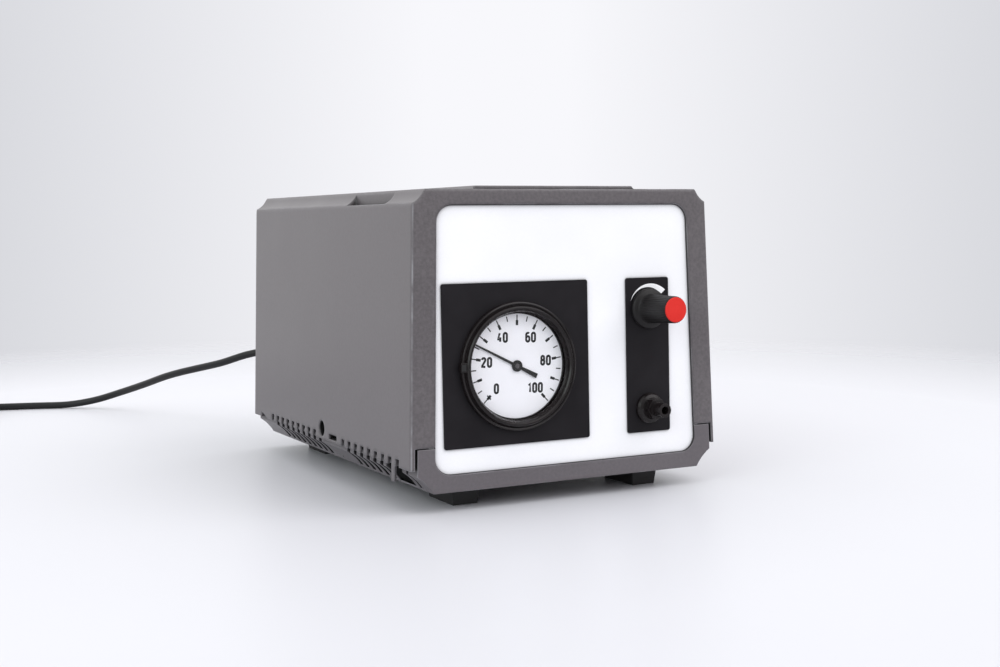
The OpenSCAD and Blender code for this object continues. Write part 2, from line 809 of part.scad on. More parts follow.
module arm_pins() place() color("#c3c5c7") for (x = [-arm_x, arm_x]) translate([x, arm_y, 0]) {
    rod(arm_pin_r, chassis_top, arm_z[1] + 4);
    rod(arm_pin_r + 3, chassis_top, arm_z[0] - run_fit);
}

module on_head(side) {
    place() translate([0, pump_y, pump_z]) rotate([0, 90 * side, 0]) children();
}

module diaphragm(side) color("#26262a") on_head(side) rotate_extrude()
    polygon([[0, 25], [6, 25], [7, 28.5], [11, 30.6], [14, 29.8], [16, 31.5], [19, 31.5], [19, pump_x[0]],
        [0, pump_x[0]]]);

module left_diaphragm() diaphragm(-1);
module right_diaphragm() diaphragm(1);

module pump_head(side) color("#3f4246") {
    on_head(side) {
        rod(pump_r, pump_x[0], pump_x[1]);
        rod(pump_r - 3, pump_x[1], pump_x[1] + 5);
        tube(pump_r, 19, 31.5, pump_x[0]);
        tube(pump_r, 16, 29.5, 31.5);
        translate([-side * (port_z - pump_z), 0, port_x]) rotate([90, 0, 0])
            translate([0, 0, -port_reach]) cylinder(r = barb_r, h = 2 * port_reach);
    }
    place() translate([side > 0 ? 0 : -86, 0, 0])
        block([36, 50], [pump_y - 12, pump_y + 12], [chassis_top, 32]);
}

module left_pump_head() pump_head(-1);
module right_pump_head() pump_head(1);

// Manifold bar with its ends closed and nozzles towards the heads
module manifold(y, dir) {
    translate([-bar_x, y, port_z]) rotate([0, 90, 0]) cylinder(r = bar_r, h = 2 * bar_x);
    for (x = [-port_x, port_x]) translate([x, y, port_z]) rotate([-90 * dir, 0, 0]) rod(barb_r, 0, bar_port);
}

module suction_manifold() place() color("#3f4246") {
    manifold(suction_y, 1);
    for (x = [gauge_x, 26, control_x]) translate([x, suction_y, port_z]) rotate([90, 0, 0])
        rod(barb_r, 0, bar_port);
}

module pressure_manifold() place() color("#3f4246") {
    manifold(pressure_y, -1);
    translate([exhaust_x, pressure_y, port_z]) rotate([-90, 0, 0]) rod(barb_r, 0, bar_port);
}

// Hoses: swept tubes of few sides

function unit(v) = v / norm(v);
function headings(path, route) = let (n = len(path), m = len(route)) [for (i = [0:n - 1])
    i == 0 ? unit(route[1] - route[0]) : i == n - 1 ? unit(route[m - 1] - route[m - 2])
        : unit(path[i + 1] - path[i - 1])];
function carry(n, t) = unit(n - (n * t) * t);
function normals(t, i = 0, n = [0.1, 0.2, 1]) =
    i == len(t) ? [] : let (m = carry(n, t[i])) concat([m], normals(t, i + 1, m));
function knot(p, i) = p[max(0, min(i, len(p) - 1))];
function between(a, b, c, d, s) =
    0.5 * (2 * b + (c - a) * s + (2 * a - 5 * b + 4 * c - d) * s * s + (3 * b - a - 3 * c + d) * s * s * s);
function smooth_path(p, steps) = concat(
    [for (i = [0:len(p) - 2], s = [0:steps - 1])
        between(knot(p, i - 1), p[i], p[i + 1], knot(p, i + 2), s / steps)],
    [p[len(p) - 1]]);

module swept_tube(route, r, steps = 2, sides = 8) {
    path = smooth_path(route, steps);
    t = headings(path, route);
    n = normals(t);
    rings = len(path);
    points = [for (i = [0:rings - 1]) let (b = cross(t[i], n[i])) for (k = [0:sides - 1])
        let (a = 360 * k / sides) path[i] + r * (cos(a) * n[i] + sin(a) * b)];
    walls = [for (i = [0:rings - 2], k = [0:sides - 1]) let (k2 = (k + 1) % sides)
        [i * sides + k, i * sides + k2, (i + 1) * sides + k2, (i + 1) * sides + k]];
    first = [for (k = [sides - 1:-1:0]) k];
    last = [for (k = [0:sides - 1]) (rings - 1) * sides + k];
    polyhedron(points, [for (f = concat(walls, [first, last])) [for (i = [len(f) - 1:-1:0]) f[i]]]);
}

// Straight lengths from the heads' nozzles to the two manifolds
module head_hoses() place() color("#d8d8d0") for (x = [-port_x, port_x]) translate([x, 0, port_z])
    rotate([-90, 0, 0]) {
        rod(hose_r, suction_y + bar_port, pump_y - port_reach);
        rod(hose_r, pump_y + port_reach, pressure_y - bar_port);
    }

module front_hoses() place() color("#d8d8d0") {
    tip = suction_y - bar_port;
    inward = [0, cos(rake), -sin(rake)];
    inlet_end = front_point(control_x, inlet_z, -22);
    swept_tube([inlet_end, inlet_end + 8 * inward, [control_x, 46, 53], [control_x, tip - 8, port_z],
        [control_x, tip, port_z]], hose_r);
    gauge_end = front_point(gauge_x, gauge_z, -gauge_depth - 16);
    swept_tube([gauge_end, gauge_end + 3 * inward, [gauge_x, tip - 3, port_z],
        [gauge_x, tip, port_z]], hose_r);
    valve_end = front_point(control_x, knob_z - valve_w / 2 - 8, panel_back - 22);
    swept_tube([valve_end, valve_end - 5 * [0, sin(rake), cos(rake)], [44, 33, 69], [34, 43, 63],
        [26, tip - 7, port_z],
        [26, tip, port_z]], hose_r);
}

module exhaust_hose() place() color("#d8d8d0") translate([exhaust_x, 0, exhaust_z]) rotate([-90, 0, 0])
    rod(hose_r, pressure_y + bar_port, case_d - panel_y - 18);

// Rear fittings

module exhaust_outlet() color("#2b2627") place() on_rear(exhaust_x, exhaust_z) difference() {
    union() {
        rod(bush_r, -12, 1);
        rod(8.4, 0, 3);
        rod(nozzle_r, 2, 12 + panel_y);
        rod(barb_r, -18, -11);
        translate([0, 0, -panel_t - 4]) cylinder(r = 8.5, h = 4, $fn = 6);
    }
    rod(bore_r - 0.9, -19, 4);
    rod(bore_r, 3, 14 + panel_y);
}

module power_switch() color("#1f1f21") place() on_rear(switch_x, switch_z) difference() {
    union() {
        translate([-13, -17, 0]) cube([26, 34, 2]);
        translate([-11, -15, -22]) cube([22, 30, 23]);
    }
    translate([-8.3, -12.3, -9]) cube([16.6, 24.6, 12]);
    translate([-9.8, 0, -2]) rotate([0, 90, 0]) cylinder(r = 1.5 + run_fit, h = 19.6);
}

module switch_rocker() color("#26262a") place() on_rear(switch_x, switch_z) translate([0, 0, -2])
    rotate([switch_tilt, 0, 0]) {
        translate([-8, 0, 0]) rotate([90, 0, 90]) linear_extrude(16) intersection() {
            circle(11.8);
            polygon([[-12, -3], [12, -3], [12, 5.6], [0, 3.4], [-12, 5.6]]);
        }
        translate([-9.6, 0, 0]) rotate([0, 90, 0]) cylinder(r = 1.5, h = 19.2);
    }

module fuse_holder() color("#1f1f21") place() on_rear(fuse_x, fuse_z) {
    rod(6.3, -30, 1);
    rod(8.4, 0, 2);
    difference() {
        rod(6.6, 2, 9);
        translate([-8, -0.6, 8]) cube([16, 1.2, 2]);
    }
}

module terminal_block() place() color("#e6e2d6") difference() {
    block([-64, -34], [229, 243], [floor_z, 32]);
    for (i = [0:2]) translate([-59 + i * 10, 236, 0]) rod(2.2, 24, 33);
}

module strain_relief() color("#1b1b1c") place() on_rear(relief_x, relief_z) {
    rod(5.5, -10, 1);
    rotate_extrude() polygon([[0, 0], [8, 0], [8, 2.5], [6.6, 3.5], [5.6, 6], [3.4, relief_len],
        [0, relief_len]]);
    rod(7.4, -7, -panel_t);
}

// Mains lead

module mains_cord() place() color("#161616") swept_tube(cord_route, cord_d / 2);

module cord_coil() place() color("#161616") translate([coil_at[0], coil_at[1], 0]) rotate_extrude()
    translate([coil_r - coil_rows * cord_d / 2, 0]) square([coil_rows * cord_d, coil_rows * cord_d]);

module plug_lead() place() color("#161616") swept_tube(plug_route, cord_d / 2);

// Flat two-pin plug, its sides drawn in towards the lead
module mains_plug() place() color("#161616") translate([plug_x, plug_y, plug_z]) {
    translate([0, 0, -plug_z + 0.05]) linear_extrude(2 * plug_z - 0.1)
        polygon([[-5, 0], [5, 0], [8, -10], [plug_half - 1, -17], [plug_half, -22], [plug_half, -plug_body],
            [-plug_half, -plug_body], [-plug_half, -22], [1 - plug_half, -17], [-8, -10]]);
}

module plug_pins() place() color("#c9b36a") for (s = [-1, 1])
    translate([plug_x + s * pin_gap / 2, plug_y - plug_body, plug_z]) rotate([90, 0, 0]) {
        rod(pin_r, 0, pin_len - 1);
        translate([0, 0, pin_len - 1]) cylinder(r1 = pin_r, r2 = pin_r - 0.8, h = 1);
    }

upper_shell();
lower_shell();
front_panel();
rear_panel();
case_screws();
foot_front_left();
foot_front_right();
foot_rear_left();
foot_rear_right();
foot_screws();
gauge_plate();
control_plate();
gauge_case();
gauge_bezel();
gauge_glass();
gauge_dial();
gauge_pointer();
gauge_movement();
gauge_sector();
gauge_capsule();
gauge_connector();
gauge_clamp();
control_knob();
knob_cap();
knob_collet();
valve_nut();
valve_body();
valve_spindle();
valve_needle();
inlet_fitting();
inlet_nut();
pump_chassis();
chassis_mounts();
magnet_core();
magnet_coil();
left_arm();
right_arm();
left_arm_magnet();
right_arm_magnet();
arm_pins();
left_diaphragm();
right_diaphragm();
left_pump_head();
right_pump_head();
suction_manifold();
pressure_manifold();
head_hoses();
front_hoses();
exhaust_hose();
exhaust_outlet();
power_switch();
switch_rocker();
fuse_holder();
terminal_block();
strain_relief();
mains_cord();
cord_coil();
plug_lead();
mains_plug();
plug_pins();
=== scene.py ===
import bpy
from math import atan2, cos, hypot, pi, radians, sin
from mathutils import Matrix, Vector


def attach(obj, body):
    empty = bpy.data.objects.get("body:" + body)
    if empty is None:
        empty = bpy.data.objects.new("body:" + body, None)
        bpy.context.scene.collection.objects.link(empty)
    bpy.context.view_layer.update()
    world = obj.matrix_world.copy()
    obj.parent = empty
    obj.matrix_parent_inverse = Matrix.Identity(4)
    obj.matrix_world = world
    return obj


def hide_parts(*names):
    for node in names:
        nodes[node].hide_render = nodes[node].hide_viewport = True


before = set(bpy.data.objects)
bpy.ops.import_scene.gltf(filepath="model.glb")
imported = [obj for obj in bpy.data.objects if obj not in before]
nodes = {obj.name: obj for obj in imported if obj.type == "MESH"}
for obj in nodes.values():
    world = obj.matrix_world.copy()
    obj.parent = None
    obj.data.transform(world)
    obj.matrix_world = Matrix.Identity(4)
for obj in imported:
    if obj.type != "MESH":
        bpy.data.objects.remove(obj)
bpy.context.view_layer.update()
print("frame loaded:", len(nodes), "CAD nodes")

mm = 0.001

# where the part's source puts things, in millimetres, before its middle is moved to the origin
layout = {
    "midY": 121.032367, "rearY": 253.8, "rake": radians(1.26),  # the front leans back by the rake
    "gauge": (-31.2, 73), "knob": (50, 100),  # across the front and up it
    "gaugeRoll": radians(-1.8), "reading": 26,  # the gauge sits a little turned, and its pointer rests at 26
    "dialTop": -1.7, "pointerTop": -0.8, "plateFace": -0.4,  # out of the front frame's face
    "relief": (-8, 62), "switch": (50, 118), "switchTilt": radians(9),  # at rest the rocker leans one way
}


def casePoint(x, y, z):
    # a point of the case, in the source's millimetres
    return Vector((x * mm, (y - layout["midY"]) * mm, z * mm))


def frontMatrix(x, z, out=0, roll=0):
    # x to the right, y up the leaning front, z straight out of it
    r = layout["rake"]
    rows = ((1, 0, 0, x * mm), (0, sin(r), -cos(r), (z * sin(r) - layout["midY"]) * mm),
            (0, cos(r), sin(r), z * cos(r) * mm), (0, 0, 0, 1))
    return Matrix(rows) @ Matrix.Rotation(roll, 4, "Z") @ Matrix.Translation((0, 0, out * mm))


def rearMatrix(x, z, out=0):
    # y up the rear face, z straight out of it
    rows = ((-1, 0, 0, x * mm), (0, 0, 1, (layout["rearY"] + out - layout["midY"]) * mm),
            (0, 1, 0, z * mm), (0, 0, 0, 1))
    return Matrix(rows)


# the photograph's camera, fitted to the case's edges, plates and gauge
cameraPlace = {"at": (-373.6, -635.5, 147.55), "yaw": -27.52, "pitch": -4.54, "roll": -0.61,
               "lens": 50.211, "sensor": 36, "nearest": 0.01, "farthest": 60}


def placeCamera(c):
    yaw, pitch, roll = radians(c["yaw"]), radians(c["pitch"]), radians(c["roll"])
    ahead = Vector((-sin(yaw) * cos(pitch), cos(yaw) * cos(pitch), sin(pitch)))
    right = Vector((cos(yaw), sin(yaw), 0))
    up = right.cross(ahead)
    rolledRight = cos(roll) * right + sin(roll) * up
    rolledUp = -sin(roll) * right + cos(roll) * up
    bpy.ops.object.camera_add()
    camera = bpy.context.object
    camera.name = "photoCamera"
    camera.data.lens = c["lens"]
    camera.data.sensor_width = c["sensor"]
    camera.data.clip_start, camera.data.clip_end = c["nearest"], c["farthest"]
    turned = Matrix((rolledRight, rolledUp, -ahead)).transposed().to_4x4()
    camera.matrix_world = Matrix.Translation(casePoint(*c["at"])) @ turned
    bpy.context.scene.camera = camera


placeCamera(cameraPlace)
print("camera placed")


def hexColour(text):
    # sRGB hex to the linear values a shader takes
    parts = [int(text[i:i + 2], 16) / 255 for i in (1, 3, 5)]
    return tuple(p / 12.92 if p <= 0.04045 else ((p + 0.055) / 1.055) ** 2.4 for p in parts) + (1,)


def addNode(tree, kind, links=None, stops=None, **settings):
    # links go by input name or number: a socket is joined, anything else is its value
    node = tree.nodes.new("ShaderNode" + kind)
    for name, value in settings.items():
        setattr(node, name, value)
    for name, value in (links or {}).items():
        if isinstance(value, bpy.types.NodeSocket):
            tree.links.new(value, node.inputs[name])
        else:
            node.inputs[name].default_value = value
    for i, (place, colour) in enumerate(stops or []):  # a ramp's stops: hex colours or plain levels
        elements = node.color_ramp.elements
        element = elements[i] if i < len(elements) else elements.new(place)
        element.position = place
        element.color = hexColour(colour) if isinstance(colour, str) else (colour, colour, colour, 1)
    return node


def newMaterial(name):
    material = bpy.data.materials.new(name)
    material.use_nodes = True
    tree = material.node_tree
    tree.nodes.clear()
    return material, tree, tree.nodes.new("ShaderNodeOutputMaterial")


def perMetre(millimetres):
    # scale of a pattern whose repeat is that many millimetres
    return 1000 / millimetres


# pale edges of a moulded case, partly worn with use and partly painted highlight: patches in millimetres,
# then ramp stops
edgeWearAndHighlight = {"patch": 14, "broken": [(0.42, 0.12), (0.6, 0.85)], "sharp": [(0.88, 1), (0.99, 0)],
            "corner": [(0.36, 0), (0.48, 0.65)], "squareGrain": 0.65, "leastGrain": 0.3}


def wornAndHighlitShare(tree, place, edge, flat, facing, h):
    # how pale an edge is: sharp edges, the rounded upright corners and the top front edge, partly worn with
    # use and partly a painted highlight, broken up by patches
    across, along, up = facing.outputs
    likeness = addNode(tree, "VectorMath", {0: edge, 1: flat}, operation="DOT_PRODUCT").outputs["Value"]
    sharp = addNode(tree, "ValToRGB", {0: likeness}, stops=h["sharp"]).outputs[0]
    cornerHighlight = addNode(tree, "Math", {0: across, 1: along}, operation="MULTIPLY").outputs[0]
    cornerHighlight = addNode(tree, "Math", {0: cornerHighlight}, operation="ABSOLUTE").outputs[0]
    browHighlight = addNode(tree, "Math", {0: along, 1: up}, operation="MULTIPLY").outputs[0]
    browHighlight = addNode(tree, "Math", {0: browHighlight, 1: -1.0}, operation="MULTIPLY").outputs[0]
    cornerHighlight = addNode(tree, "Math", {0: cornerHighlight, 1: browHighlight}, operation="MAXIMUM").outputs[0]
    corner = addNode(tree, "ValToRGB", {0: cornerHighlight}, stops=h["corner"]).outputs[0]
    either = addNode(tree, "Math", {0: sharp, 1: corner}, operation="MAXIMUM").outputs[0]
    patches = addNode(tree, "TexNoise", {"Vector": place, "Scale": perMetre(h["patch"]), "Detail": 6.0})
    broken = addNode(tree, "ValToRGB", {0: patches.outputs[0]}, stops=h["broken"]).outputs[0]
    return addNode(tree, "Math", {0: either, 1: broken}, operation="MULTIPLY").outputs[0]


def mouldedPlastic(name, s):
    # moulded, sprayed or printed finishes: broad cloud, fine grain, rounded edges that catch the light;
    # sizes in millimetres, and a grain under half a millimetre in life is drawn up to 1.7 so that it shows
    material, tree, output = newMaterial(name)
    place = addNode(tree, "TexCoord").outputs["Object"]
    cloud = addNode(tree, "TexNoise", {"Vector": place, "Scale": perMetre(s["cloud"]), "Detail": 3.0})
    cloud = cloud.outputs[0]
    grain = addNode(tree, "TexNoise", {"Vector": place, "Scale": perMetre(s["grain"]), "Detail": 4.0,
                                       "Roughness": 0.6}).outputs[0]
    tint = addNode(tree, "ValToRGB", {0: cloud}, stops=[(0.3, s["dark"]), (0.7, s["light"])]).outputs[0]
    fleck = addNode(tree, "ValToRGB", {0: grain}, stops=[(0.34, 1 - s["fleck"]), (0.66, 1)]).outputs[0]
    flat = addNode(tree, "NewGeometry").outputs["Normal"]
    facing = addNode(tree, "SeparateXYZ", {0: flat})
    share = 1.0
    if "wearAndHighlightColour" in s:  # faces square to the mould's draw keep the full grain, which also darkens them as a painted shade; the walls along it are smoother and lighter
        square = addNode(tree, "Math", {0: facing.outputs[1]}, operation="ABSOLUTE").outputs[0]
        share = addNode(tree, "Math", {0: square, 1: edgeWearAndHighlight["squareGrain"], 2: edgeWearAndHighlight["leastGrain"]},
                        operation="MULTIPLY_ADD").outputs[0]
    colour = addNode(tree, "Mix", {0: share, 6: tint, 7: fleck}, data_type="RGBA",
                     blend_type="MULTIPLY").outputs[2]
    edge = addNode(tree, "Bevel", {"Radius": s["edge"] * mm}, samples=6).outputs[0]
    soft = edge
    if "round" in s:  # the broad, soft rounding of a moulded rim
        soft = addNode(tree, "Bevel", {"Radius": s["round"] * mm}, samples=8).outputs[0]
    bump = addNode(tree, "Bump", {"Height": grain, "Distance": s["depth"] * mm, "Strength": 0.5,
                                  "Normal": soft}).outputs[0]
    shine = addNode(tree, "ValToRGB", {0: cloud},
                    stops=[(0.3, s["rough"] - 0.03), (0.7, s["rough"] + 0.04)]).outputs[0]
    # edges paler: partly worn with use, partly painted highlight on the rounded corners and the top front
    # edge
    if "wearAndHighlightColour" in s:
        paleEdge = wornAndHighlitShare(tree, place, edge, flat, facing, edgeWearAndHighlight)
        colour = addNode(tree, "Mix", {0: paleEdge, 6: colour, 7: hexColour(s["wearAndHighlightColour"])},
                         data_type="RGBA").outputs[2]
    if "paintedRecessShade" in s:  # painted shade: the colour is darkened where occlusion is deep, in slots, grooves and along seams
        reach, darkest, shut, clear = s["paintedRecessShade"]
        deep = addNode(tree, "AmbientOcclusion", {"Distance": reach * mm}, samples=8).outputs["AO"]
        paintedShade = addNode(tree, "ValToRGB", {0: deep}, stops=[(shut, darkest), (clear, 1)]).outputs[0]
        colour = addNode(tree, "Mix", {0: 1.0, 6: colour, 7: paintedShade}, data_type="RGBA",
                         blend_type="MULTIPLY").outputs[2]
    shader = addNode(tree, "BsdfPrincipled", {"Base Color": colour, "Roughness": shine, "Normal": bump,
                                              "IOR": s["ior"], "Specular IOR Level": s.get("specular", 0.5)})
    tree.links.new(shader.outputs[0], output.inputs["Surface"])
    return material


metalWork = {"tarnish": 14, "edge": 0.25}  # size of the tarnish's clouds, broken edge, in millimetres


def workedMetal(name, s):
    # plated, rolled or turned metal: streaks in its shine, a little tarnish in its colour
    material, tree, output = newMaterial(name)
    place = addNode(tree, "TexCoord").outputs["Object"]
    drawn = addNode(tree, "Mapping", {"Vector": place, "Scale": s["stretch"]}).outputs[0]
    streak = addNode(tree, "TexNoise", {"Vector": drawn, "Scale": perMetre(s["grain"]), "Detail": 4.0})
    streak = streak.outputs[0]
    cloud = addNode(tree, "TexNoise", {"Vector": place, "Scale": perMetre(metalWork["tarnish"]),
                                       "Detail": 3.0}).outputs[0]
    tint = addNode(tree, "ValToRGB", {0: cloud}, stops=[(0.3, s["dark"]), (0.7, s["light"])]).outputs[0]
    shine = addNode(tree, "ValToRGB", {0: streak},
                    stops=[(0.3, s["rough"] - 0.08), (0.7, s["rough"] + 0.1)]).outputs[0]
    edge = addNode(tree, "Bevel", {"Radius": metalWork["edge"] * mm}, samples=4).outputs[0]
    bump = addNode(tree, "Bump", {"Height": streak, "Distance": s["depth"] * mm, "Strength": 0.4,
                                  "Normal": edge}).outputs[0]
    shader = addNode(tree, "BsdfPrincipled", {"Base Color": tint, "Roughness": shine, "Metallic": 1.0,
                                              "Normal": bump})
    tree.links.new(shader.outputs[0], output.inputs["Surface"])
    return material


def deselectAll():
    if bpy.context.object and bpy.context.object.mode != "OBJECT":
        bpy.ops.object.mode_set(mode="OBJECT")
    bpy.ops.object.select_all(action="DESELECT")


def pickOnly(piece):
    deselectAll()
    piece.select_set(True)
    bpy.context.view_layer.objects.active = piece


def settle(piece, matrix=None):
    # puts the piece's place into its mesh, so that its object sits at the origin
    if matrix is not None:
        piece.matrix_world = matrix @ piece.matrix_world
    pickOnly(piece)
    bpy.ops.object.transform_apply(location=True, rotation=True, scale=True)


def addModifier(piece, kind, **settings):
    pickOnly(piece)
    modifier = piece.modifiers.new(kind.lower(), kind)
    for name, value in settings.items():
        setattr(modifier, name, value)
    bpy.ops.object.modifier_apply(modifier=modifier.name)


def finishPiece(piece, name, material, body, matrix=None, smooth=30):
    piece.name = name
    piece.data.name = name
    settle(piece, matrix)
    piece.data.materials.clear()
    piece.data.materials.append(material)
    if smooth:
        bpy.ops.object.shade_smooth_by_angle(angle=radians(smooth))
    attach(piece, body)
    return piece


def joinPieces(pieces):
    deselectAll()
    for piece in pieces:
        piece.select_set(True)
    bpy.context.view_layer.objects.active = pieces[0]
    bpy.ops.object.join()
    return bpy.context.object


def thicken(flat, by):
    # draws the whole of a flat shape along that vector and turns its faces outwards
    pickOnly(flat)
    bpy.ops.object.mode_set(mode="EDIT")
    bpy.ops.mesh.select_all(action="SELECT")
    bpy.ops.mesh.extrude_region_move(TRANSFORM_OT_translate={"value": by})
    bpy.ops.mesh.select_all(action="SELECT")
    bpy.ops.mesh.normals_make_consistent(inside=False)
    bpy.ops.object.mode_set(mode="OBJECT")


def roundLine(lines, radius, resolution, closed=False):
    # a round line through points in millimetres, made a mesh
    curve = bpy.data.curves.new("roundLine", "CURVE")
    curve.dimensions = "3D"
    curve.bevel_depth = radius * mm
    curve.bevel_resolution = resolution
    curve.use_fill_caps = True
    for line in lines:
        spline = curve.splines.new("POLY")
        spline.points.add(len(line) - 1)
        spline.use_cyclic_u = closed
        for point, (x, y) in zip(spline.points, line):
            point.co = (x * mm, y * mm, 0, 1)
    drawn = bpy.data.objects.new("roundLine", curve)
    bpy.context.scene.collection.objects.link(drawn)
    pickOnly(drawn)
    bpy.ops.object.convert(target="MESH")
    return bpy.context.object


def spunPiece(profile, steps):
    # a closed profile of radius and height in millimetres, turned round the z axis
    bpy.ops.mesh.primitive_circle_add(vertices=len(profile), radius=mm)
    piece = bpy.context.object
    for vertex, (r, z) in zip(piece.data.vertices, profile):
        vertex.co = (r * mm, 0, z * mm)
    bpy.ops.object.mode_set(mode="EDIT")
    bpy.ops.mesh.select_all(action="SELECT")
    bpy.ops.mesh.spin(steps=steps, angle=2 * pi, center=(0, 0, 0), axis=(0, 0, 1))
    bpy.ops.mesh.select_all(action="SELECT")
    bpy.ops.mesh.remove_doubles(threshold=0.002 * mm)
    bpy.ops.mesh.normals_make_consistent(inside=False)
    bpy.ops.object.mode_set(mode="OBJECT")
    return piece


# length in metres, the rest in millimetres; the turns lie a diameter apart
mainsLead = {
    "length": 1.8, "diameter": 5.4, "coilAt": (-268, 523), "turnRadii": (35.2, 29.8, 24.5),
    "layers": (3.2, 8.6, 14.0), "turns": 7.25, "perTurn": 16, "startAt": 90, "shiftFrom": 0.7,
    "between": 4, "facets": 5,
    "out": [(-8, 285.8, 62), (-8, 295.8, 62), (-12, 312, 61), (-21, 328, 60), (-34, 344, 58), (-48, 359, 55),
            (-62, 374, 51), (-75, 392, 44.5), (-85, 410, 40), (-97, 430, 35), (-106, 448, 30),
            (-116, 472, 22.5), (-129, 500, 14), (-145, 519, 7), (-164, 532, 3.2), (-188, 542, 2.8),
            (-215, 550, 2.8), (-242, 556, 2.9)],
    "toPlug": [(-303.4, 514, 13.9), (-303.4, 505, 12), (-303.4, 496, 9), (-303.4, 488, 7)],
}


def coilPoints(c):
    # turns run inwards on the table, outwards on top of them, and the last ones lie on those
    wide, middle, tight = c["turnRadii"]
    low, high, top = c["layers"]
    order = [(wide, low), (middle, low), (tight, low), (tight, high), (middle, high), (wide, high),
             (middle, top), (wide, top)]
    points = []
    for i in range(int(c["turns"] * c["perTurn"]) + 1):
        turn = i / c["perTurn"]
        k = int(turn)
        r, z = order[k]
        nextR, nextZ = order[min(k + 1, len(order) - 1)]
        step = max(0, (turn - k - c["shiftFrom"]) / (1 - c["shiftFrom"]))  # the end of a turn eases over
        step = step * step * (3 - 2 * step)
        angle = radians(c["startAt"]) + 2 * pi * turn
        points.append((c["coilAt"][0] + (r + (nextR - r) * step) * cos(angle),
                       c["coilAt"][1] + (r + (nextR - r) * step) * sin(angle), z + (nextZ - z) * step))
    return points


def smoothRoute(points, steps):
    # a curve through every point
    result = []
    for i in range(len(points) - 1):
        before, start, end = points[max(i - 1, 0)], points[i], points[i + 1]
        after = points[min(i + 2, len(points) - 1)]
        for k in range(steps):
            t = k / steps
            bow = 2 * before - 5 * start + 4 * end - after
            twist = 3 * start - before - 3 * end + after
            result.append(0.5 * (2 * start + (end - before) * t + bow * t * t + twist * t * t * t))
    result.append(points[-1])
    return result


def makeCord(c):
    route = smoothRoute([casePoint(*p) for p in c["out"] + coilPoints(c) + c["toPlug"]], c["between"])
    curve = bpy.data.curves.new("mainsLead", "CURVE")
    curve.dimensions = "3D"
    spline = curve.splines.new("POLY")
    spline.points.add(len(route) - 1)
    for point, place in zip(spline.points, route):
        point.co = (*place, 1)
    curve.bevel_depth = c["diameter"] / 2 * mm
    curve.bevel_resolution = c["facets"]
    curve.use_fill_caps = True
    cord = bpy.data.objects.new("mainsLead", curve)
    bpy.context.scene.collection.objects.link(cord)
    print("mains lead length", round(sum((b - a).length for a, b in zip(route, route[1:])), 4))
    return cord


# flexible PVC sheath, extruded: near black and satin, a little dusty
pvcSheath = mouldedPlastic("blackPvcSheathExtruded", {
    "dark": "#0e0e10", "light": "#161618", "cloud": 30, "grain": 0.9, "fleck": 0.12, "edge": 0.2,
    "depth": 0.02, "rough": 0.46, "ior": 1.5, "specular": 0.32})
lead = makeCord(mainsLead)
lead.data.materials.append(pvcSheath)
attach(lead, "pump_case")
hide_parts("mains_cord", "cord_coil", "plug_lead")

coilTie = {"around": radians(300), "width": 12, "thick": 0.5, "low": 0.45, "halfHigh": 5.675, "room": 0.15,
           "sides": 48, "shoulder": 0.45, "rows": 6, "edge": 0.12}


def makeTie(c, t):
    # a hook and loop band round the section of the turns
    gap = c["diameter"] / 2 + t["room"]
    inner, outer = c["turnRadii"][2] - gap, c["turnRadii"][0] + gap
    middle, half, up = (inner + outer) / 2, (outer - inner) / 2, t["halfHigh"]
    bpy.ops.mesh.primitive_circle_add(vertices=t["sides"], radius=1)
    tie = bpy.context.object
    for vertex in tie.data.vertices:  # an oblong with round shoulders
        x, z = (abs(v) ** t["shoulder"] * (1 if v > 0 else -1) for v in vertex.co.xy)
        vertex.co = ((middle + x * half) * mm, -t["width"] / 2 * mm, (t["low"] + up + z * up) * mm)
    bpy.ops.object.mode_set(mode="EDIT")
    bpy.ops.mesh.select_all(action="SELECT")
    across = t["width"] / t["rows"] * mm
    for row in range(t["rows"]):
        bpy.ops.mesh.extrude_region_move(TRANSFORM_OT_translate={"value": (0, across, 0)})
    bpy.ops.mesh.select_all(action="SELECT")
    bpy.ops.mesh.normals_make_consistent(inside=False)
    bpy.ops.object.mode_set(mode="OBJECT")
    addModifier(tie, "SOLIDIFY", thickness=t["thick"] * mm, offset=1)
    addModifier(tie, "BEVEL", width=t["edge"] * mm, segments=1, limit_method="ANGLE")
    place = casePoint(c["coilAt"][0], c["coilAt"][1], 0)
    return tie, Matrix.Translation(place) @ Matrix.Rotation(t["around"], 4, "Z")


# woven nylon of a hook and loop strap: a dull black nap
strapNylon = mouldedPlastic("blackNylonHookLoopWoven", {
    "dark": "#161617", "light": "#242426", "cloud": 4, "grain": 0.5, "fleck": 0.4, "edge": 0.1, "depth": 0.12,
    "rough": 0.85, "ior": 1.5})
tie, tiePlace = makeTie(mainsLead, coilTie)
finishPiece(tie, "coilTie", strapNylon, "pump_case", tiePlace)

# stations: how far along, half width and half height of each section, from the lead to the pins
plugShape = {"at": (-303.4, 488, 7), "sides": 48, "squareFrom": 4, "squareOver": 14, "squarest": 1.34,
             "halfHigh": 6.85,
             "stations": [(0, 4.2, 4.2), (-1, 5.2, 5), (-6, 6.3, 5.6), (-10, 8.3, 6), (-13.5, 12.4, 6.3),
                          (-17, 16.2, 6.6), (-20, 17.2, 6.75), (-21, 17.3, 6.2), (-22.2, 17.3, 6.2),
                          (-23.2, 17.4, 6.8), (-24.2, 17.3, 6.2), (-25.4, 17.3, 6.2), (-26.4, 17.4, 6.8),
                          (-27.4, 17.3, 6.2), (-28.6, 17.3, 6.2), (-29.6, 17.4, 6.85), (-34.4, 17.4, 6.85),
                          (-35.4, 17.1, 6.6), (-35.95, 16.4, 6)]}


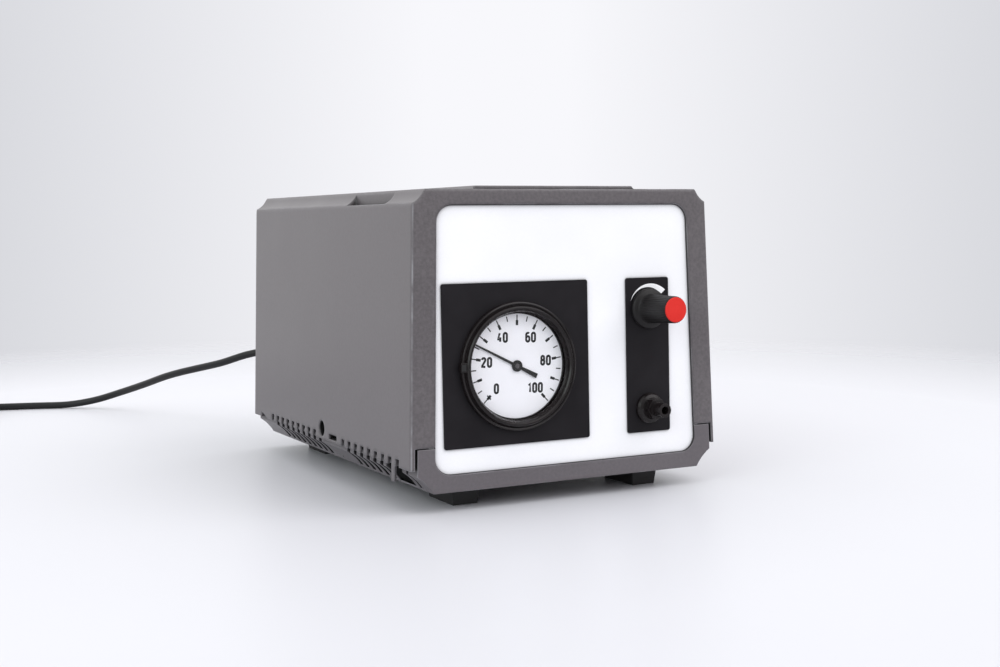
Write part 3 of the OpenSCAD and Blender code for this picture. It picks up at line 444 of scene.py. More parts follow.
def makePlug(p):
    # a moulded flat plug: rounded sections drawn along it, with grip grooves across its flats
    bpy.ops.mesh.primitive_circle_add(vertices=p["sides"], radius=1, fill_type="NGON")
    plug = bpy.context.object
    first = p["stations"][0]
    for vertex in plug.data.vertices:
        a = vertex.co.copy()
        vertex.co = (first[1] * mm * a.x, first[0] * mm, first[2] * mm * a.y)
    bpy.ops.object.mode_set(mode="EDIT")
    bpy.ops.mesh.select_all(action="SELECT")
    for before, here in zip(p["stations"], p["stations"][1:]):
        bpy.ops.mesh.extrude_region_move(TRANSFORM_OT_translate={"value": (0, (here[0] - before[0]) * mm, 0)})
        bpy.ops.transform.resize(value=(here[1] / before[1], 1, here[2] / before[2]))
    bpy.ops.mesh.select_all(action="SELECT")
    bpy.ops.mesh.normals_make_consistent(inside=False)
    bpy.ops.object.mode_set(mode="OBJECT")
    for vertex in plug.data.vertices:  # towards the pins the oval section becomes an oblong
        y = -vertex.co.y / mm
        square = min(1, max(0, (y - p["squareFrom"]) / p["squareOver"]))
        wide = max(station[1] for station in p["stations"] if -station[0] <= y + 0.01) * mm
        x, z = vertex.co.x / wide, vertex.co.z / (p["halfHigh"] * mm)
        reach = max(abs(x), abs(z), 1e-6)
        grow = 1 + square * (min(hypot(x, z) / reach, p["squarest"]) - 1)
        vertex.co.x *= grow
        vertex.co.z *= grow
    return plug


plug = makePlug(plugShape)
plugPlace = Matrix.Translation(casePoint(*plugShape["at"]))
finishPiece(plug, "mainsPlug", pvcSheath, "pump_case", plugPlace, smooth=40)
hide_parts("mains_plug")

# radius and height of the collar and the tip; between them the boot narrows and its ribs grow shallower
reliefShape = {
    "collar": [(0, -10), (5.4, -10), (5.4, -7), (7.3, -7), (7.3, -3.1), (5.4, -3.1), (5.4, 0.02), (7.9, 0.02),
               (7.9, 2.1), (7.4, 2.6), (6.5, 3.5), (5.6, 6)],
    "tip": [(3.5, 30.5), (3.35, 31.9), (0, 31.95)],
    "ribs": 7, "from": 8, "to": 29.5, "deep": 0.75, "shallower": 0.3, "narrows": 2.2 / 26, "steps": 40}


def makeRelief(s):
    # a tapered boot with soft ribs that let it bend, and the collar that holds it in the panel
    root, rootAt = s["collar"][-1]
    profile = list(s["collar"])
    pitch = (s["to"] - s["from"]) / s["ribs"]
    for i in range(s["ribs"]):
        deep = s["deep"] * (1 - s["shallower"] * i / s["ribs"])
        for part, down in ((0, 0), (0.4, 0), (0.5, deep), (0.9, deep)):
            z = s["from"] + (i + part) * pitch
            profile.append((root - (z - rootAt) * s["narrows"] - down, z))
    return spunPiece(profile + s["tip"], s["steps"])


# flexible PVC, moulded over the lead: the sheath's black, a shade duller
reliefPvc = mouldedPlastic("blackPvcBootMoulded", {
    "dark": "#161617", "light": "#1f1f21", "cloud": 20, "grain": 0.7, "fleck": 0.12, "edge": 0.3,
    "depth": 0.02, "rough": 0.5, "ior": 1.5})
relief = makeRelief(reliefShape)
finishPiece(relief, "strainRelief", reliefPvc, "pump_case", rearMatrix(*layout["relief"]),
            smooth=40)
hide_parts("strain_relief")
print("mains lead, plug and boot made")

# metres; the floor melts into the backdrop over "fade" and darkens away from its centre, a painted pool of
# light, and the backdrop darkens aside of where the camera aims, a painted falloff of light
stage = {"size": 14, "behind": 2, "near": "#D0D0D5", "far": "#C6C6CB", "poolTones": (0.4, 0.85),
         "centre": (-0.05, 0.05), "fade": (0.52, 0.95), "drift": 0.04, "cloud": 1.5, "rough": 0.42,
         "backdrop": "#F8F8FC", "backdropEdge": "#D9DADF", "aside": (0.887, -0.462, 0), "falloffStops": (0.05, 0.34)}

bpy.ops.mesh.primitive_plane_add(size=stage["size"], location=(0, stage["behind"], 0))
floor = bpy.context.object
floor.name = "studioFloor"


def paintedFloor(s):
    # smooth painted board: pale and faintly cool, with a painted pool of light that darkens it away from
    # under the pump, melting into the backdrop far away
    material, tree, output = newMaterial("paintedBoardSprayed")
    place = addNode(tree, "TexCoord").outputs["Object"]
    centre = (s["centre"][0], s["centre"][1] - s["behind"], 0)
    away = addNode(tree, "VectorMath", {0: place, 1: centre}, operation="DISTANCE").outputs["Value"]
    cloud = addNode(tree, "TexNoise", {"Vector": place, "Scale": s["cloud"], "Detail": 0.0}).outputs[0]
    drift = addNode(tree, "Math", {0: cloud, 1: s["drift"], 2: away}, operation="MULTIPLY_ADD").outputs[0]
    tint = addNode(tree, "ValToRGB", {0: drift}, stops=[(s["poolTones"][0], s["near"]),
                                                        (s["poolTones"][1], s["far"])]).outputs[0]
    scaled = addNode(tree, "MapRange", {0: away, 1: s["fade"][0], 2: s["fade"][1]}).outputs[0]
    shader = addNode(tree, "BsdfPrincipled", {"Base Color": tint, "Roughness": s["rough"], "IOR": 1.45,
                                              "Specular IOR Level": 0.35})
    clear = addNode(tree, "BsdfTransparent")
    both = addNode(tree, "MixShader", {0: scaled, 1: shader.outputs[0], 2: clear.outputs[0]})
    tree.links.new(both.outputs[0], output.inputs["Surface"])
    return material


floor.data.materials.append(paintedFloor(stage))

# the room's stops go from in front of the pump to behind it: place, then level
lights = {"key": {"turn": (47, 0, 40), "strength": 1.22, "angle": 54, "colour": "#FFFCFF"},
          "fill": {"turn": (68, 0, -66), "strength": 0.82, "angle": 40, "colour": "#F3FFFD"},
          "room": [(0.12, 0.54), (0.45, 0.78), (0.7, 0.95)], "overhead": 0.56, "air": (0.985, 0.99, 1, 1)}


def placeLights(s):
    for name in ("key", "fill"):
        bpy.ops.object.light_add(type="SUN")
        lamp = bpy.context.object
        lamp.name = name + "Light"
        lamp.rotation_euler = [radians(a) for a in s[name]["turn"]]
        lamp.data.energy = s[name]["strength"]
        lamp.data.angle = radians(s[name]["angle"])
        lamp.data.color = hexColour(s[name]["colour"])[:3]
    world = bpy.data.worlds.new("studioAir")
    bpy.context.scene.world = world
    world.use_nodes = True
    tree = world.node_tree
    tree.nodes.clear()
    heading = addNode(tree, "TexCoord").outputs["Generated"]
    axes = addNode(tree, "SeparateXYZ", {0: heading})
    # what lights the pump: a dim room in front, a bright backdrop behind, a softbox overhead
    depth = addNode(tree, "MapRange", {0: axes.outputs[1], 1: -1.0, 2: 1.0}).outputs[0]
    level = addNode(tree, "ValToRGB", {0: depth}, stops=s["room"]).outputs[0]
    height = addNode(tree, "Math", {0: axes.outputs[2], 1: 0.0}, operation="MAXIMUM").outputs[0]
    lift = addNode(tree, "Math", {0: height, 1: s["overhead"], 2: level}, operation="MULTIPLY_ADD").outputs[0]
    air = addNode(tree, "Background", {"Color": s["air"], "Strength": lift})
    # what the camera sees: a pale backdrop with a painted falloff of light to its sides
    aside = addNode(tree, "VectorMath", {0: heading, 1: stage["aside"]}, operation="DOT_PRODUCT")
    spread = addNode(tree, "Math", {0: aside.outputs["Value"]}, operation="ABSOLUTE").outputs[0]
    shade = addNode(tree, "ValToRGB", {0: spread}, stops=[(stage["falloffStops"][0], stage["backdrop"]),
                                                          (stage["falloffStops"][1], stage["backdropEdge"])])
    pale = addNode(tree, "Background", {"Color": shade.outputs[0], "Strength": 1.0})
    rays = addNode(tree, "LightPath")
    seen = addNode(tree, "Math", {0: rays.outputs["Is Camera Ray"], 1: rays.outputs["Is Transmission Ray"]},
                   operation="MAXIMUM").outputs[0]
    both = addNode(tree, "MixShader", {0: seen, 1: air.outputs[0], 2: pale.outputs[0]})
    tree.links.new(both.outputs[0], tree.nodes.new("ShaderNodeOutputWorld").inputs["Surface"])


placeLights(lights)
bpy.context.scene.view_settings.view_transform = "Standard"
print("stage and lights set")

# ABS case, moulded in an eroded tool: mid grey, an even grain (drawn coarser than its real 0.4 mm), a sheen
# that lifts its sides, edges paler, partly worn with use and partly painted highlight, and painted shade
# in its slots and along its seams
caseAbs = mouldedPlastic("greyAbsMouldedGrained", {
    "dark": "#5f5a5d", "light": "#645f62", "cloud": 45, "grain": 1.7, "fleck": 0.28, "edge": 0.9,
    "depth": 0.05, "rough": 0.38, "ior": 1.5, "wearAndHighlightColour": "#98979c", "paintedRecessShade": (6, 0.2, 0.2, 0.85), "round": 2.6})
# the tray is of the same ABS, a shade darker, with deeper painted shade in its slots and grooves
trayAbs = mouldedPlastic("greyAbsTrayMouldedGrained", {
    "dark": "#5d585c", "light": "#625d61", "cloud": 45, "grain": 1.7, "fleck": 0.15, "edge": 0.9,
    "depth": 0.05, "rough": 0.4, "ior": 1.5, "wearAndHighlightColour": "#8f8e93", "paintedRecessShade": (5, 0.08, 0.5, 0.93)})
# steel front plate, powder coated: cool white with a faint orange peel, and painted shade along the frame's
# edge
panelCoat = mouldedPlastic("whitePolyesterPowderCoat", {
    "dark": "#f1f1f5", "light": "#f6f6f9", "cloud": 60, "grain": 1.6, "fleck": 0.012, "edge": 0.4,
    "depth": 0.012, "rough": 0.45, "ior": 1.45, "specular": 0.35, "paintedRecessShade": (9, 0.55, 0.6, 0.98)})
# steel rear plate, powder coated grey: even and dull beside the moulded case
rearCoat = mouldedPlastic("greyPolyesterPowderCoat", {
    "dark": "#6c6b6f", "light": "#727175", "cloud": 50, "grain": 1.4, "fleck": 0.05, "edge": 0.4,
    "depth": 0.02, "rough": 0.5, "ior": 1.5})
# polyester label foil, printed black from behind: very even, silky, with hardly a highlight
labelFoil = mouldedPlastic("blackPolyesterFoilPrinted", {
    "dark": "#1b191c", "light": "#211f22", "cloud": 18, "grain": 0.7, "fleck": 0.08, "edge": 0.25,
    "depth": 0.004, "rough": 0.5, "ior": 1.45, "specular": 0.12})
# polyamide fittings: brownish black and satin, the grain of the tool just visible
fittingNylon = mouldedPlastic("blackPolyamideMoulded", {
    "dark": "#151112", "light": "#1c1718", "cloud": 9, "grain": 0.8, "fleck": 0.1, "edge": 0.4, "depth": 0.01,
    "rough": 0.24, "ior": 1.5, "specular": 0.28})
# ABS knob, moulded: neutral black, soft broad highlights along the flutes
knobPlastic = mouldedPlastic("blackAbsMouldedSatin", {
    "dark": "#181617", "light": "#1f1d1e", "cloud": 9, "grain": 0.7, "fleck": 0.1, "edge": 0.25,
    "depth": 0.015, "rough": 0.42, "ior": 1.5, "specular": 0.22})
# polycarbonate switch and fuse holder, polished tool: the shiniest black on the rear
switchPlastic = mouldedPlastic("blackPolycarbonateMoulded", {
    "dark": "#19191b", "light": "#202022", "cloud": 12, "grain": 0.9, "fleck": 0.06, "edge": 0.3,
    "depth": 0.015, "rough": 0.32, "ior": 1.55})
# plug over the case screw, nearly black: painted shade of the shadowed cup it sits in
screwPlugShade = mouldedPlastic("nearBlackPlugPaintedShade", {
    "dark": "#141414", "light": "#1b1b1c", "cloud": 5, "grain": 0.8, "fleck": 0.1, "edge": 0.3, "depth": 0.01,
    "rough": 0.55, "ior": 1.5, "specular": 0.3})
# polystyrene cap, moulded: the one strong colour, warm red with a faint gloss
capPlastic = mouldedPlastic("redPolystyreneMoulded", {
    "dark": "#d32a24", "light": "#da302a", "cloud": 8, "grain": 0.9, "fleck": 0.03, "edge": 0.35,
    "depth": 0.008, "rough": 0.4, "ior": 1.5, "specular": 0.2})
# aluminium dial, sprayed: flat, clean matt white, a shade cool
dialEnamel = mouldedPlastic("whiteEnamelSprayed", {
    "dark": "#efeef2", "light": "#f4f3f8", "cloud": 14, "grain": 0.5, "fleck": 0.02, "edge": 0.1,
    "depth": 0.003, "rough": 0.6, "ior": 1.45, "specular": 0.3})
# aluminium pointer, sprayed with lacquer: the deepest black on the dial
needlePaint = mouldedPlastic("blackLacquerSprayed", {
    "dark": "#0c0c0d", "light": "#121214", "cloud": 6, "grain": 0.5, "fleck": 0.08, "edge": 0.12,
    "depth": 0.003, "rough": 0.45, "ior": 1.5})
# nitrile rubber feet and mounts, moulded: dull black, rounded edges, a little dust
footRubber = mouldedPlastic("blackNitrileRubberMoulded", {
    "dark": "#171617", "light": "#1f1d1f", "cloud": 12, "grain": 0.7, "fleck": 0.16, "edge": 0.9,
    "depth": 0.04, "rough": 0.62, "ior": 1.5})
# glass-filled polyamide pump heads, moulded: dark blue grey, mottled by its fibres
pumpNylon = mouldedPlastic("darkPolyamideGlassFilled", {
    "dark": "#2d2f32", "light": "#3a3d41", "cloud": 12, "grain": 0.8, "fleck": 0.2, "edge": 0.4,
    "depth": 0.03, "rough": 0.48, "ior": 1.5})
# silicone hose, extruded: milky and pale, so drawn as a pale solid
hoseSilicone = mouldedPlastic("clearSiliconeExtruded", {
    "dark": "#c9c9c1", "light": "#dcdcd4", "cloud": 25, "grain": 1.5, "fleck": 0.04, "edge": 0.2,
    "depth": 0.01, "rough": 0.3, "ior": 1.42})
# natural polyamide terminal block, moulded: bone white
terminalNylon = mouldedPlastic("naturalPolyamideMoulded", {
    "dark": "#ddd8ca", "light": "#e9e4d8", "cloud": 15, "grain": 1.1, "fleck": 0.05, "edge": 0.4,
    "depth": 0.02, "rough": 0.42, "ior": 1.5})
# ferrite magnets, sintered and ground: dark grey, faintly speckled
ferriteBlack = mouldedPlastic("ferriteSintered", {
    "dark": "#37373a", "light": "#434347", "cloud": 8, "grain": 0.6, "fleck": 0.2, "edge": 0.3, "depth": 0.03,
    "rough": 0.5, "ior": 1.6})
# black sheets behind the louvres, drawn rough and pitted: painted shade, so the slots read dark
louvreShadeSheet = mouldedPlastic("blackSheetPaintedShade", {
    "dark": "#0b0b0b", "light": "#121213", "cloud": 6, "grain": 1.2, "fleck": 0.5, "edge": 0.3, "depth": 0.4,
    "rough": 0.95, "ior": 1.4, "specular": 0.1})

# brass, turned: yellow, with fine streaks that break its highlights
turnedBrass = workedMetal("brassTurned", {
    "dark": "#b08d4a", "light": "#c2a05a", "grain": 0.5, "rough": 0.3, "depth": 0.006,
    "stretch": (1, 12, 12)})
# bronze capsule, rolled: browner than the brass, streaked one way
rolledBronze = workedMetal("bronzeRolled", {
    "dark": "#a8864a", "light": "#c0a060", "grain": 0.6, "rough": 0.34, "depth": 0.006,
    "stretch": (14, 1, 1)})
# steel screws, nuts and arms, zinc plated: bright, cloudy grey
zincSteel = workedMetal("steelZincPlated", {
    "dark": "#94979b", "light": "#b4b7bb", "grain": 2.2, "rough": 0.36, "depth": 0.01, "stretch": (1, 1, 1)})
# sheet steel chassis, zinc plated: duller, with the broad flower of the plating
chassisSteel = workedMetal("steelSheetZincPlated", {
    "dark": "#8f9296", "light": "#a6a9ad", "grain": 4.0, "rough": 0.4, "depth": 0.01, "stretch": (1, 1, 1)})
# silicon steel core, laminated: dark, finely ruled across its height by the stacked sheets
coreSteel = workedMetal("siliconSteelLaminated", {
    "dark": "#4c4f53", "light": "#5c6064", "grain": 0.7, "rough": 0.45, "depth": 0.05, "stretch": (1, 1, 30)})
# brass plug pins, nickel plated: warm, smooth and bright
pinNickel = workedMetal("brassNickelPlated", {
    "dark": "#b7b4a9", "light": "#cbc8be", "grain": 1.0, "rough": 0.22, "depth": 0.004, "stretch": (1, 1, 1)})

# thickness of the wire and depth of its rounds, in millimetres
copperWire = {"across": 0.4488, "dark": "#6e3418", "light": "#b5652d", "rough": 0.32, "depth": 0.15}


def woundCopper(s):
    # varnished copper wire, wound on a bobbin: fine even rounds, reddish under a warm varnish
    material, tree, output = newMaterial("copperWireVarnished")
    place = addNode(tree, "TexCoord").outputs["Object"]
    bands = pi / 10 / (s["across"] * mm)  # a wave of scale 1 repeats every pi / 10 metres
    turns = addNode(tree, "TexWave", {"Vector": place, "Scale": bands, "Distortion": 0.6, "Detail": 1.0},
                    wave_type="BANDS", bands_direction="Y").outputs[1]
    tint = addNode(tree, "ValToRGB", {0: turns}, stops=[(0.1, s["dark"]), (0.6, s["light"])]).outputs[0]
    bump = addNode(tree, "Bump", {"Height": turns, "Distance": s["depth"] * mm, "Strength": 0.8}).outputs[0]
    shader = addNode(tree, "BsdfPrincipled", {"Base Color": tint, "Roughness": s["rough"], "Metallic": 0.6,
                                              "Normal": bump})
    tree.links.new(shader.outputs[0], output.inputs["Surface"])
    return material


coverGlass = {"dust": 3, "ior": 1.13, "clear": (0.996, 0.998, 0.998, 1), "polish": [(0.4, 0.02), (0.7, 0.07)]}


def gaugeGlass(s):
    # thin flat instrument glass, polished: clear, with the one weak reflection that the photo shows, which
    # is why its index is well below that of glass
    material, tree, output = newMaterial("instrumentGlassPolished")
    place = addNode(tree, "TexCoord").outputs["Object"]
    dust = addNode(tree, "TexNoise", {"Vector": place, "Scale": perMetre(s["dust"]), "Detail": 6.0})
    shine = addNode(tree, "ValToRGB", {0: dust.outputs[0]}, stops=s["polish"]).outputs[0]
    clear = addNode(tree, "BsdfTransparent", {"Color": s["clear"]})
    gloss = addNode(tree, "BsdfGlossy", {"Color": (1, 1, 1, 1), "Roughness": shine})
    facing = addNode(tree, "Fresnel", {"IOR": s["ior"]}).outputs[0]
    shadow = addNode(tree, "LightPath").outputs["Is Shadow Ray"]  # the lamps pass it whole
    share = addNode(tree, "Math", {0: 1.0, 1: shadow}, operation="SUBTRACT").outputs[0]
    mirrored = addNode(tree, "Math", {0: facing, 1: share}, operation="MULTIPLY").outputs[0]
    both = addNode(tree, "MixShader", {0: mirrored, 1: clear.outputs[0], 2: gloss.outputs[0]})
    tree.links.new(both.outputs[0], output.inputs["Surface"])
    return material


copperCoil = woundCopper(copperWire)
dialGlass = gaugeGlass(coverGlass)

finishes = {
    caseAbs: ["upper_shell"], trayAbs: ["lower_shell"], panelCoat: ["front_panel"], rearCoat: ["rear_panel"],
    labelFoil: ["gauge_plate", "control_plate"],
    fittingNylon: ["gauge_case", "gauge_bezel", "inlet_fitting", "exhaust_outlet"],
    knobPlastic: ["control_knob"],
    switchPlastic: ["fuse_holder", "power_switch", "switch_rocker"], screwPlugShade: ["case_screws"],
    capPlastic: ["knob_cap"], dialEnamel: ["gauge_dial"], needlePaint: ["gauge_pointer"],
    dialGlass: ["gauge_glass"],
    turnedBrass: ["gauge_movement", "gauge_sector", "gauge_connector", "knob_collet", "valve_body"],
    rolledBronze: ["gauge_capsule"],
    zincSteel: ["foot_screws", "valve_nut", "inlet_nut", "gauge_clamp", "valve_spindle", "valve_needle",
                "arm_pins", "left_arm", "right_arm"],
    chassisSteel: ["pump_chassis"], coreSteel: ["magnet_core"],
    ferriteBlack: ["left_arm_magnet", "right_arm_magnet"], copperCoil: ["magnet_coil"],
    footRubber: ["foot_front_left", "foot_front_right", "foot_rear_left", "foot_rear_right", "chassis_mounts",
                 "left_diaphragm", "right_diaphragm"],
    pumpNylon: ["left_pump_head", "right_pump_head", "suction_manifold", "pressure_manifold"],
    hoseSilicone: ["front_hoses", "head_hoses", "exhaust_hose"], terminalNylon: ["terminal_block"],
    pinNickel: ["plug_pins"], pvcSheath: ["mains_cord", "cord_coil", "plug_lead", "mains_plug"],
    reliefPvc: ["strain_relief"],
}
for material, names in finishes.items():
    for name in names:
        nodes[name].data.materials.clear()
        nodes[name].data.materials.append(material)
print("materials given to", sum(len(n) for n in finishes.values()), "nodes")

jointShade = {"z": (19.3, 157), "halfWidth": (79.9, 76.2), "corner": 9, "radius": 0.3, "sunk": -1.0, "inset": 0.1,
        "cornerSteps": 8}


def windowJointShade(w):
    # a thin dark bead that runs round the window, where the panel meets the frame: partly the joint, partly
    # painted shade from the frame's edge
    r, (z0, z1), (low, high) = w["corner"], w["z"], w["halfWidth"]
    firstAngles = {(-1, 0): 270, (-1, 1): 180, (1, 0): 90, (1, 1): 0}
    points = []
    for side in (-1, 1):
        centres = [(side * (high - r), z1 - r), (side * (low - r), z0 + r)]
        if side < 0:
            centres.reverse()
        for k, (x, z) in enumerate(centres):
            for i in range(w["cornerSteps"] + 1):
                angle = radians(firstAngles[(side, k)] - 90 * i / w["cornerSteps"])
                points.append((x + (r - w["inset"]) * cos(angle), z + (r - w["inset"]) * sin(angle)))
    return roundLine([points], w["radius"], resolution=2, closed=True)


# thin bead, dull dark grey: the joint's line and painted shade along the frame's edge
jointShadeBead = mouldedPlastic("darkGreyBeadPaintedShade", {
    "dark": "#3b383a", "light": "#434042", "cloud": 12, "grain": 0.9, "fleck": 0.1, "edge": 0.1,
    "depth": 0.01, "rough": 0.6, "ior": 1.5, "specular": 0.3})
finishPiece(windowJointShade(jointShade), "windowJointShade", jointShadeBead, "pump_case",
            frontMatrix(0, 0, out=jointShade["sunk"]))
print("window sealed")

# across and up along the tray's wall, then where each strip begins and ends along the case
foam = {"profile": [(79.2, 14.6), (85.8, 22.2), (86.0, 30), (85.4, 41)], "thick": 3, "rows": 24,
        "strips": {"Front": (21, 121), "Rear": (137, 243)}}


def shadeSheetStrip(f, y0, y1, side):
    # a bent black sheet that lies along the inside of the tray's wall: painted shade behind the slots
    folds = len(f["profile"]) - 1
    bpy.ops.mesh.primitive_grid_add(x_subdivisions=folds, y_subdivisions=f["rows"], size=1)
    strip = bpy.context.object
    for vertex in strip.data.vertices:
        x, z = f["profile"][round((vertex.co.x + 0.5) * folds)]
        vertex.co = casePoint(side * x, y0 + (vertex.co.y + 0.5) * (y1 - y0), z)
    bpy.ops.object.mode_set(mode="EDIT")
    bpy.ops.mesh.select_all(action="SELECT")
    if side > 0:
        bpy.ops.mesh.flip_normals()
    bpy.ops.object.mode_set(mode="OBJECT")
    addModifier(strip, "SOLIDIFY", thickness=f["thick"] * mm, offset=1)
    return strip


# painted shade: black sheets behind the louvres, so that the slots read dark
for end, (y0, y1) in foam["strips"].items():
    for side, word in ((-1, "Left"), (1, "Right")):
        finishPiece(shadeSheetStrip(foam, y0, y1, side), "foam" + end + word, louvreShadeSheet, "pump_case")
print("louvres lined with foam")

# strokes run from one radius to another and are that wide; numerals stand at x and y, all in millimetres
dial = {"zeroAt": 225, "perUnit": 2.7, "ink": 0.06,
        "long": (23.6, 26.8, 0.6), "heavy": (21.3, 24.0, 1.4), "short": (23.7, 26.5, 0.6),
        "cross": (-1.5, 1.5, 0.8), "crossAt": 22.7,
        "numerals": {"0": (-11.8, -11.6), "20": (-17.6, 2.2), "40": (-8.5, 15), "60": (8.2, 14.9),
                     "80": (17.3, 2.6), "100": (11.4, -11.7)},
        "high": 5.7, "wide": 3.1, "pen": 1.22, "pitch": 3.4, "narrowOne": 0.7}


def dialAngle(value):
    return radians(dial["zeroAt"] - dial["perUnit"] * value)


def printedBar(x0, x1, width, height):
    # a flat printed stroke along x, from x0 to x1
    bpy.ops.mesh.primitive_cube_add(size=1)
    bar = bpy.context.object
    bar.scale = ((x1 - x0) * mm, width * mm, height * mm)
    bar.location = ((x0 + x1) / 2 * mm, 0, height / 2 * mm)
    settle(bar)
    return bar


def turnedCopy(piece, angle, x=0, y=0):
    copy = piece.copy()
    copy.data = piece.data.copy()
    bpy.context.scene.collection.objects.link(copy)
    copy.rotation_euler = (0, 0, angle)
    copy.location = (x * mm, y * mm, 0)
    settle(copy)
    return copy


def dialStrokes(d):
    # each kind of stroke is drawn once and copied round the scale
    bars = {kind: printedBar(*d[kind], d["ink"]) for kind in ("long", "heavy", "short", "cross")}
    strokes = []
    for value in range(0, 101, 5):
        for kind in ("long", "heavy") if value % 10 == 0 else ("short",):
            strokes.append(turnedCopy(bars[kind], dialAngle(value)))
    zero, r = dialAngle(0), d["crossAt"]
    strokes.append(turnedCopy(bars["cross"], zero + pi / 2, r * cos(zero), r * sin(zero)))
    for bar in bars.values():
        bpy.data.objects.remove(bar)
    return strokes


def ovalArc(x, y, rx, ry, start, end):
    # points of an oval arc, in degrees
    count = max(4, int(abs(end - start) / 12))
    return [(x + rx * cos(radians(start + (end - start) * i / count)),
             y + ry * sin(radians(start + (end - start) * i / count))) for i in range(count + 1)]


def digitLines(digit, d):
    # pen paths of a narrow round-ended figure that stands on y = 0
    a, h = (d["wide"] - d["pen"]) / 2, d["high"] - d["pen"]
    low, top = ovalArc(0, a, a, a, 180, 360), h - a
    lines = {"0": [low + ovalArc(0, top, a, a, 0, 180) + [(-a, a)]],
             "1": [[(-a * 0.75, h - a * 1.1), (a * 0.15, h), (a * 0.15, 0)]],
             "2": [ovalArc(0, top, a, a, 175, -20) + [(-a, 0.06 * h), (-a, 0), (a, 0)]],
             "4": [[(a * 0.1, h), (-a, h * 0.27), (a * 1.1, h * 0.27)],
                   [(a * 0.45, h * 0.52), (a * 0.45, 0)]],
             "6": [ovalArc(a * 0.1, top, a * 0.8, a, 40, 90) + ovalArc(0, top, a, a, 95, 180)
                   + low + ovalArc(0, h * 0.6 - a, a, a, 0, 165)],
             "8": [low + ovalArc(0, h * 0.52 - a * 0.7, a, a * 0.7, 0, 180) + [(-a, a)],
                   ovalArc(0, h - a * 0.9, a * 0.86, a * 0.9, 0, 180)
                   + ovalArc(0, h * 0.52 + a * 0.7, a * 0.86, a * 0.7, 180, 360) + [(a * 0.86, h - a * 0.9)]]}
    return lines[digit]


def dialNumeral(text, place, d):
    room = [d["pitch"] * (d["narrowOne"] if digit == "1" else 1) for digit in text]
    lines = []
    for i, digit in enumerate(text):
        across = place[0] + sum(room[:i]) + room[i] / 2 - sum(room) / 2
        down = place[1] - (d["high"] - d["pen"]) / 2
        lines += [[(across + x, down + y) for x, y in line] for line in digitLines(digit, d)]
    numeral = roundLine(lines, d["pen"] / 2, resolution=3)
    numeral.scale = (1, 1, d["ink"] / d["pen"])  # the pen's round line pressed flat
    numeral.location = (0, 0, d["ink"] / 2 * mm)
    settle(numeral)
    return numeral


# dial print: black enamel ink, silk-screened, a hair above the dial
printInk = mouldedPlastic("blackScreenInkPrinted", {
    "dark": "#0c0c0e", "light": "#131316", "cloud": 5, "grain": 0.4, "fleck": 0.1, "edge": 0.02,
    "depth": 0.002, "rough": 0.6, "ior": 1.5})
marks = joinPieces(dialStrokes(dial) + [dialNumeral(t, p, dial) for t, p in dial["numerals"].items()])
onDial = frontMatrix(*layout["gauge"], out=layout["dialTop"], roll=layout["gaugeRoll"])
finishPiece(marks, "dialPrint", printInk, "pump_case", onDial, smooth=0)
print("dial printed")

# rivet that holds the pointer on its arbor: steel, turned and blackened, dull with a small bright ring
rivetSteel = workedMetal("steelTurnedBlackened", {
    "dark": "#4a484a", "light": "#6a686a", "grain": 0.4, "rough": 0.4, "depth": 0.004, "stretch": (1, 1, 1)})
rivetHead = {"profile": [(0, 0), (1.3, 0), (1.3, 0.1), (1.1, 0.2), (0.75, 0.22), (0.6, 0.1), (0, 0.08)],
             "steps": 32}
rivet = spunPiece(rivetHead["profile"], rivetHead["steps"])
finishPiece(rivet, "pointerRivet", rivetSteel, "pointer",
            frontMatrix(*layout["gauge"], out=layout["pointerTop"]))

# half widths at the tip, at the hub and at the tail's end
blade = {"long": 26.9, "tip": 0.42, "root": 0.72, "tail": -12.9, "tailTip": 1.25, "low": -0.52, "thick": 0.5}


def paintedBlade(b, angle):
    # the pointer's blade as painted: a long taper to its tip, a short wedge behind the hub
    corners = [(b["long"], b["tip"]), (0, b["root"]), (b["tail"], b["tailTip"]),
               (b["tail"], -b["tailTip"]), (0, -b["root"]), (b["long"], -b["tip"])]
    bpy.ops.mesh.primitive_circle_add(vertices=len(corners), radius=1, fill_type="NGON")
    flag = bpy.context.object
    for vertex, (x, y) in zip(flag.data.vertices, corners):
        vertex.co = (x * mm, y * mm, b["low"] * mm)
    thicken(flag, (0, 0, b["thick"] * mm))
    flag.rotation_euler = (0, 0, angle)
    settle(flag)
    return flag


onHub = frontMatrix(*layout["gauge"], out=layout["pointerTop"], roll=layout["gaugeRoll"])
finishPiece(paintedBlade(blade, dialAngle(layout["reading"])), "pointerBlade", needlePaint, "pointer",
            onHub, smooth=0)

# a black patch on the bezel's catch lug, painted shade for its opening: beside the gauge's middle and out of
# it, then its size
catch = {"aside": -33, "out": 3.5, "wide": 2.5, "high": 3.4, "thick": 0.06}
catchShadePatch = printedBar(-catch["wide"] / 2, catch["wide"] / 2, catch["high"], catch["thick"])
onCatch = frontMatrix(*layout["gauge"], roll=layout["gaugeRoll"]) @ Matrix.Translation(
    (catch["aside"] * mm, 0, catch["out"] * mm))
finishPiece(catchShadePatch, "catchPaintedShade", needlePaint, "pump_case", onCatch, smooth=0)
print("pointer and catch made")

# a hair inside the CAD plateau's outline, with crisper walls
plateau = {"wide": 99.9, "y": (15.05, 239.95), "top": 166.98, "deep": 2.4, "slope": 1.9, "round": 0.5}


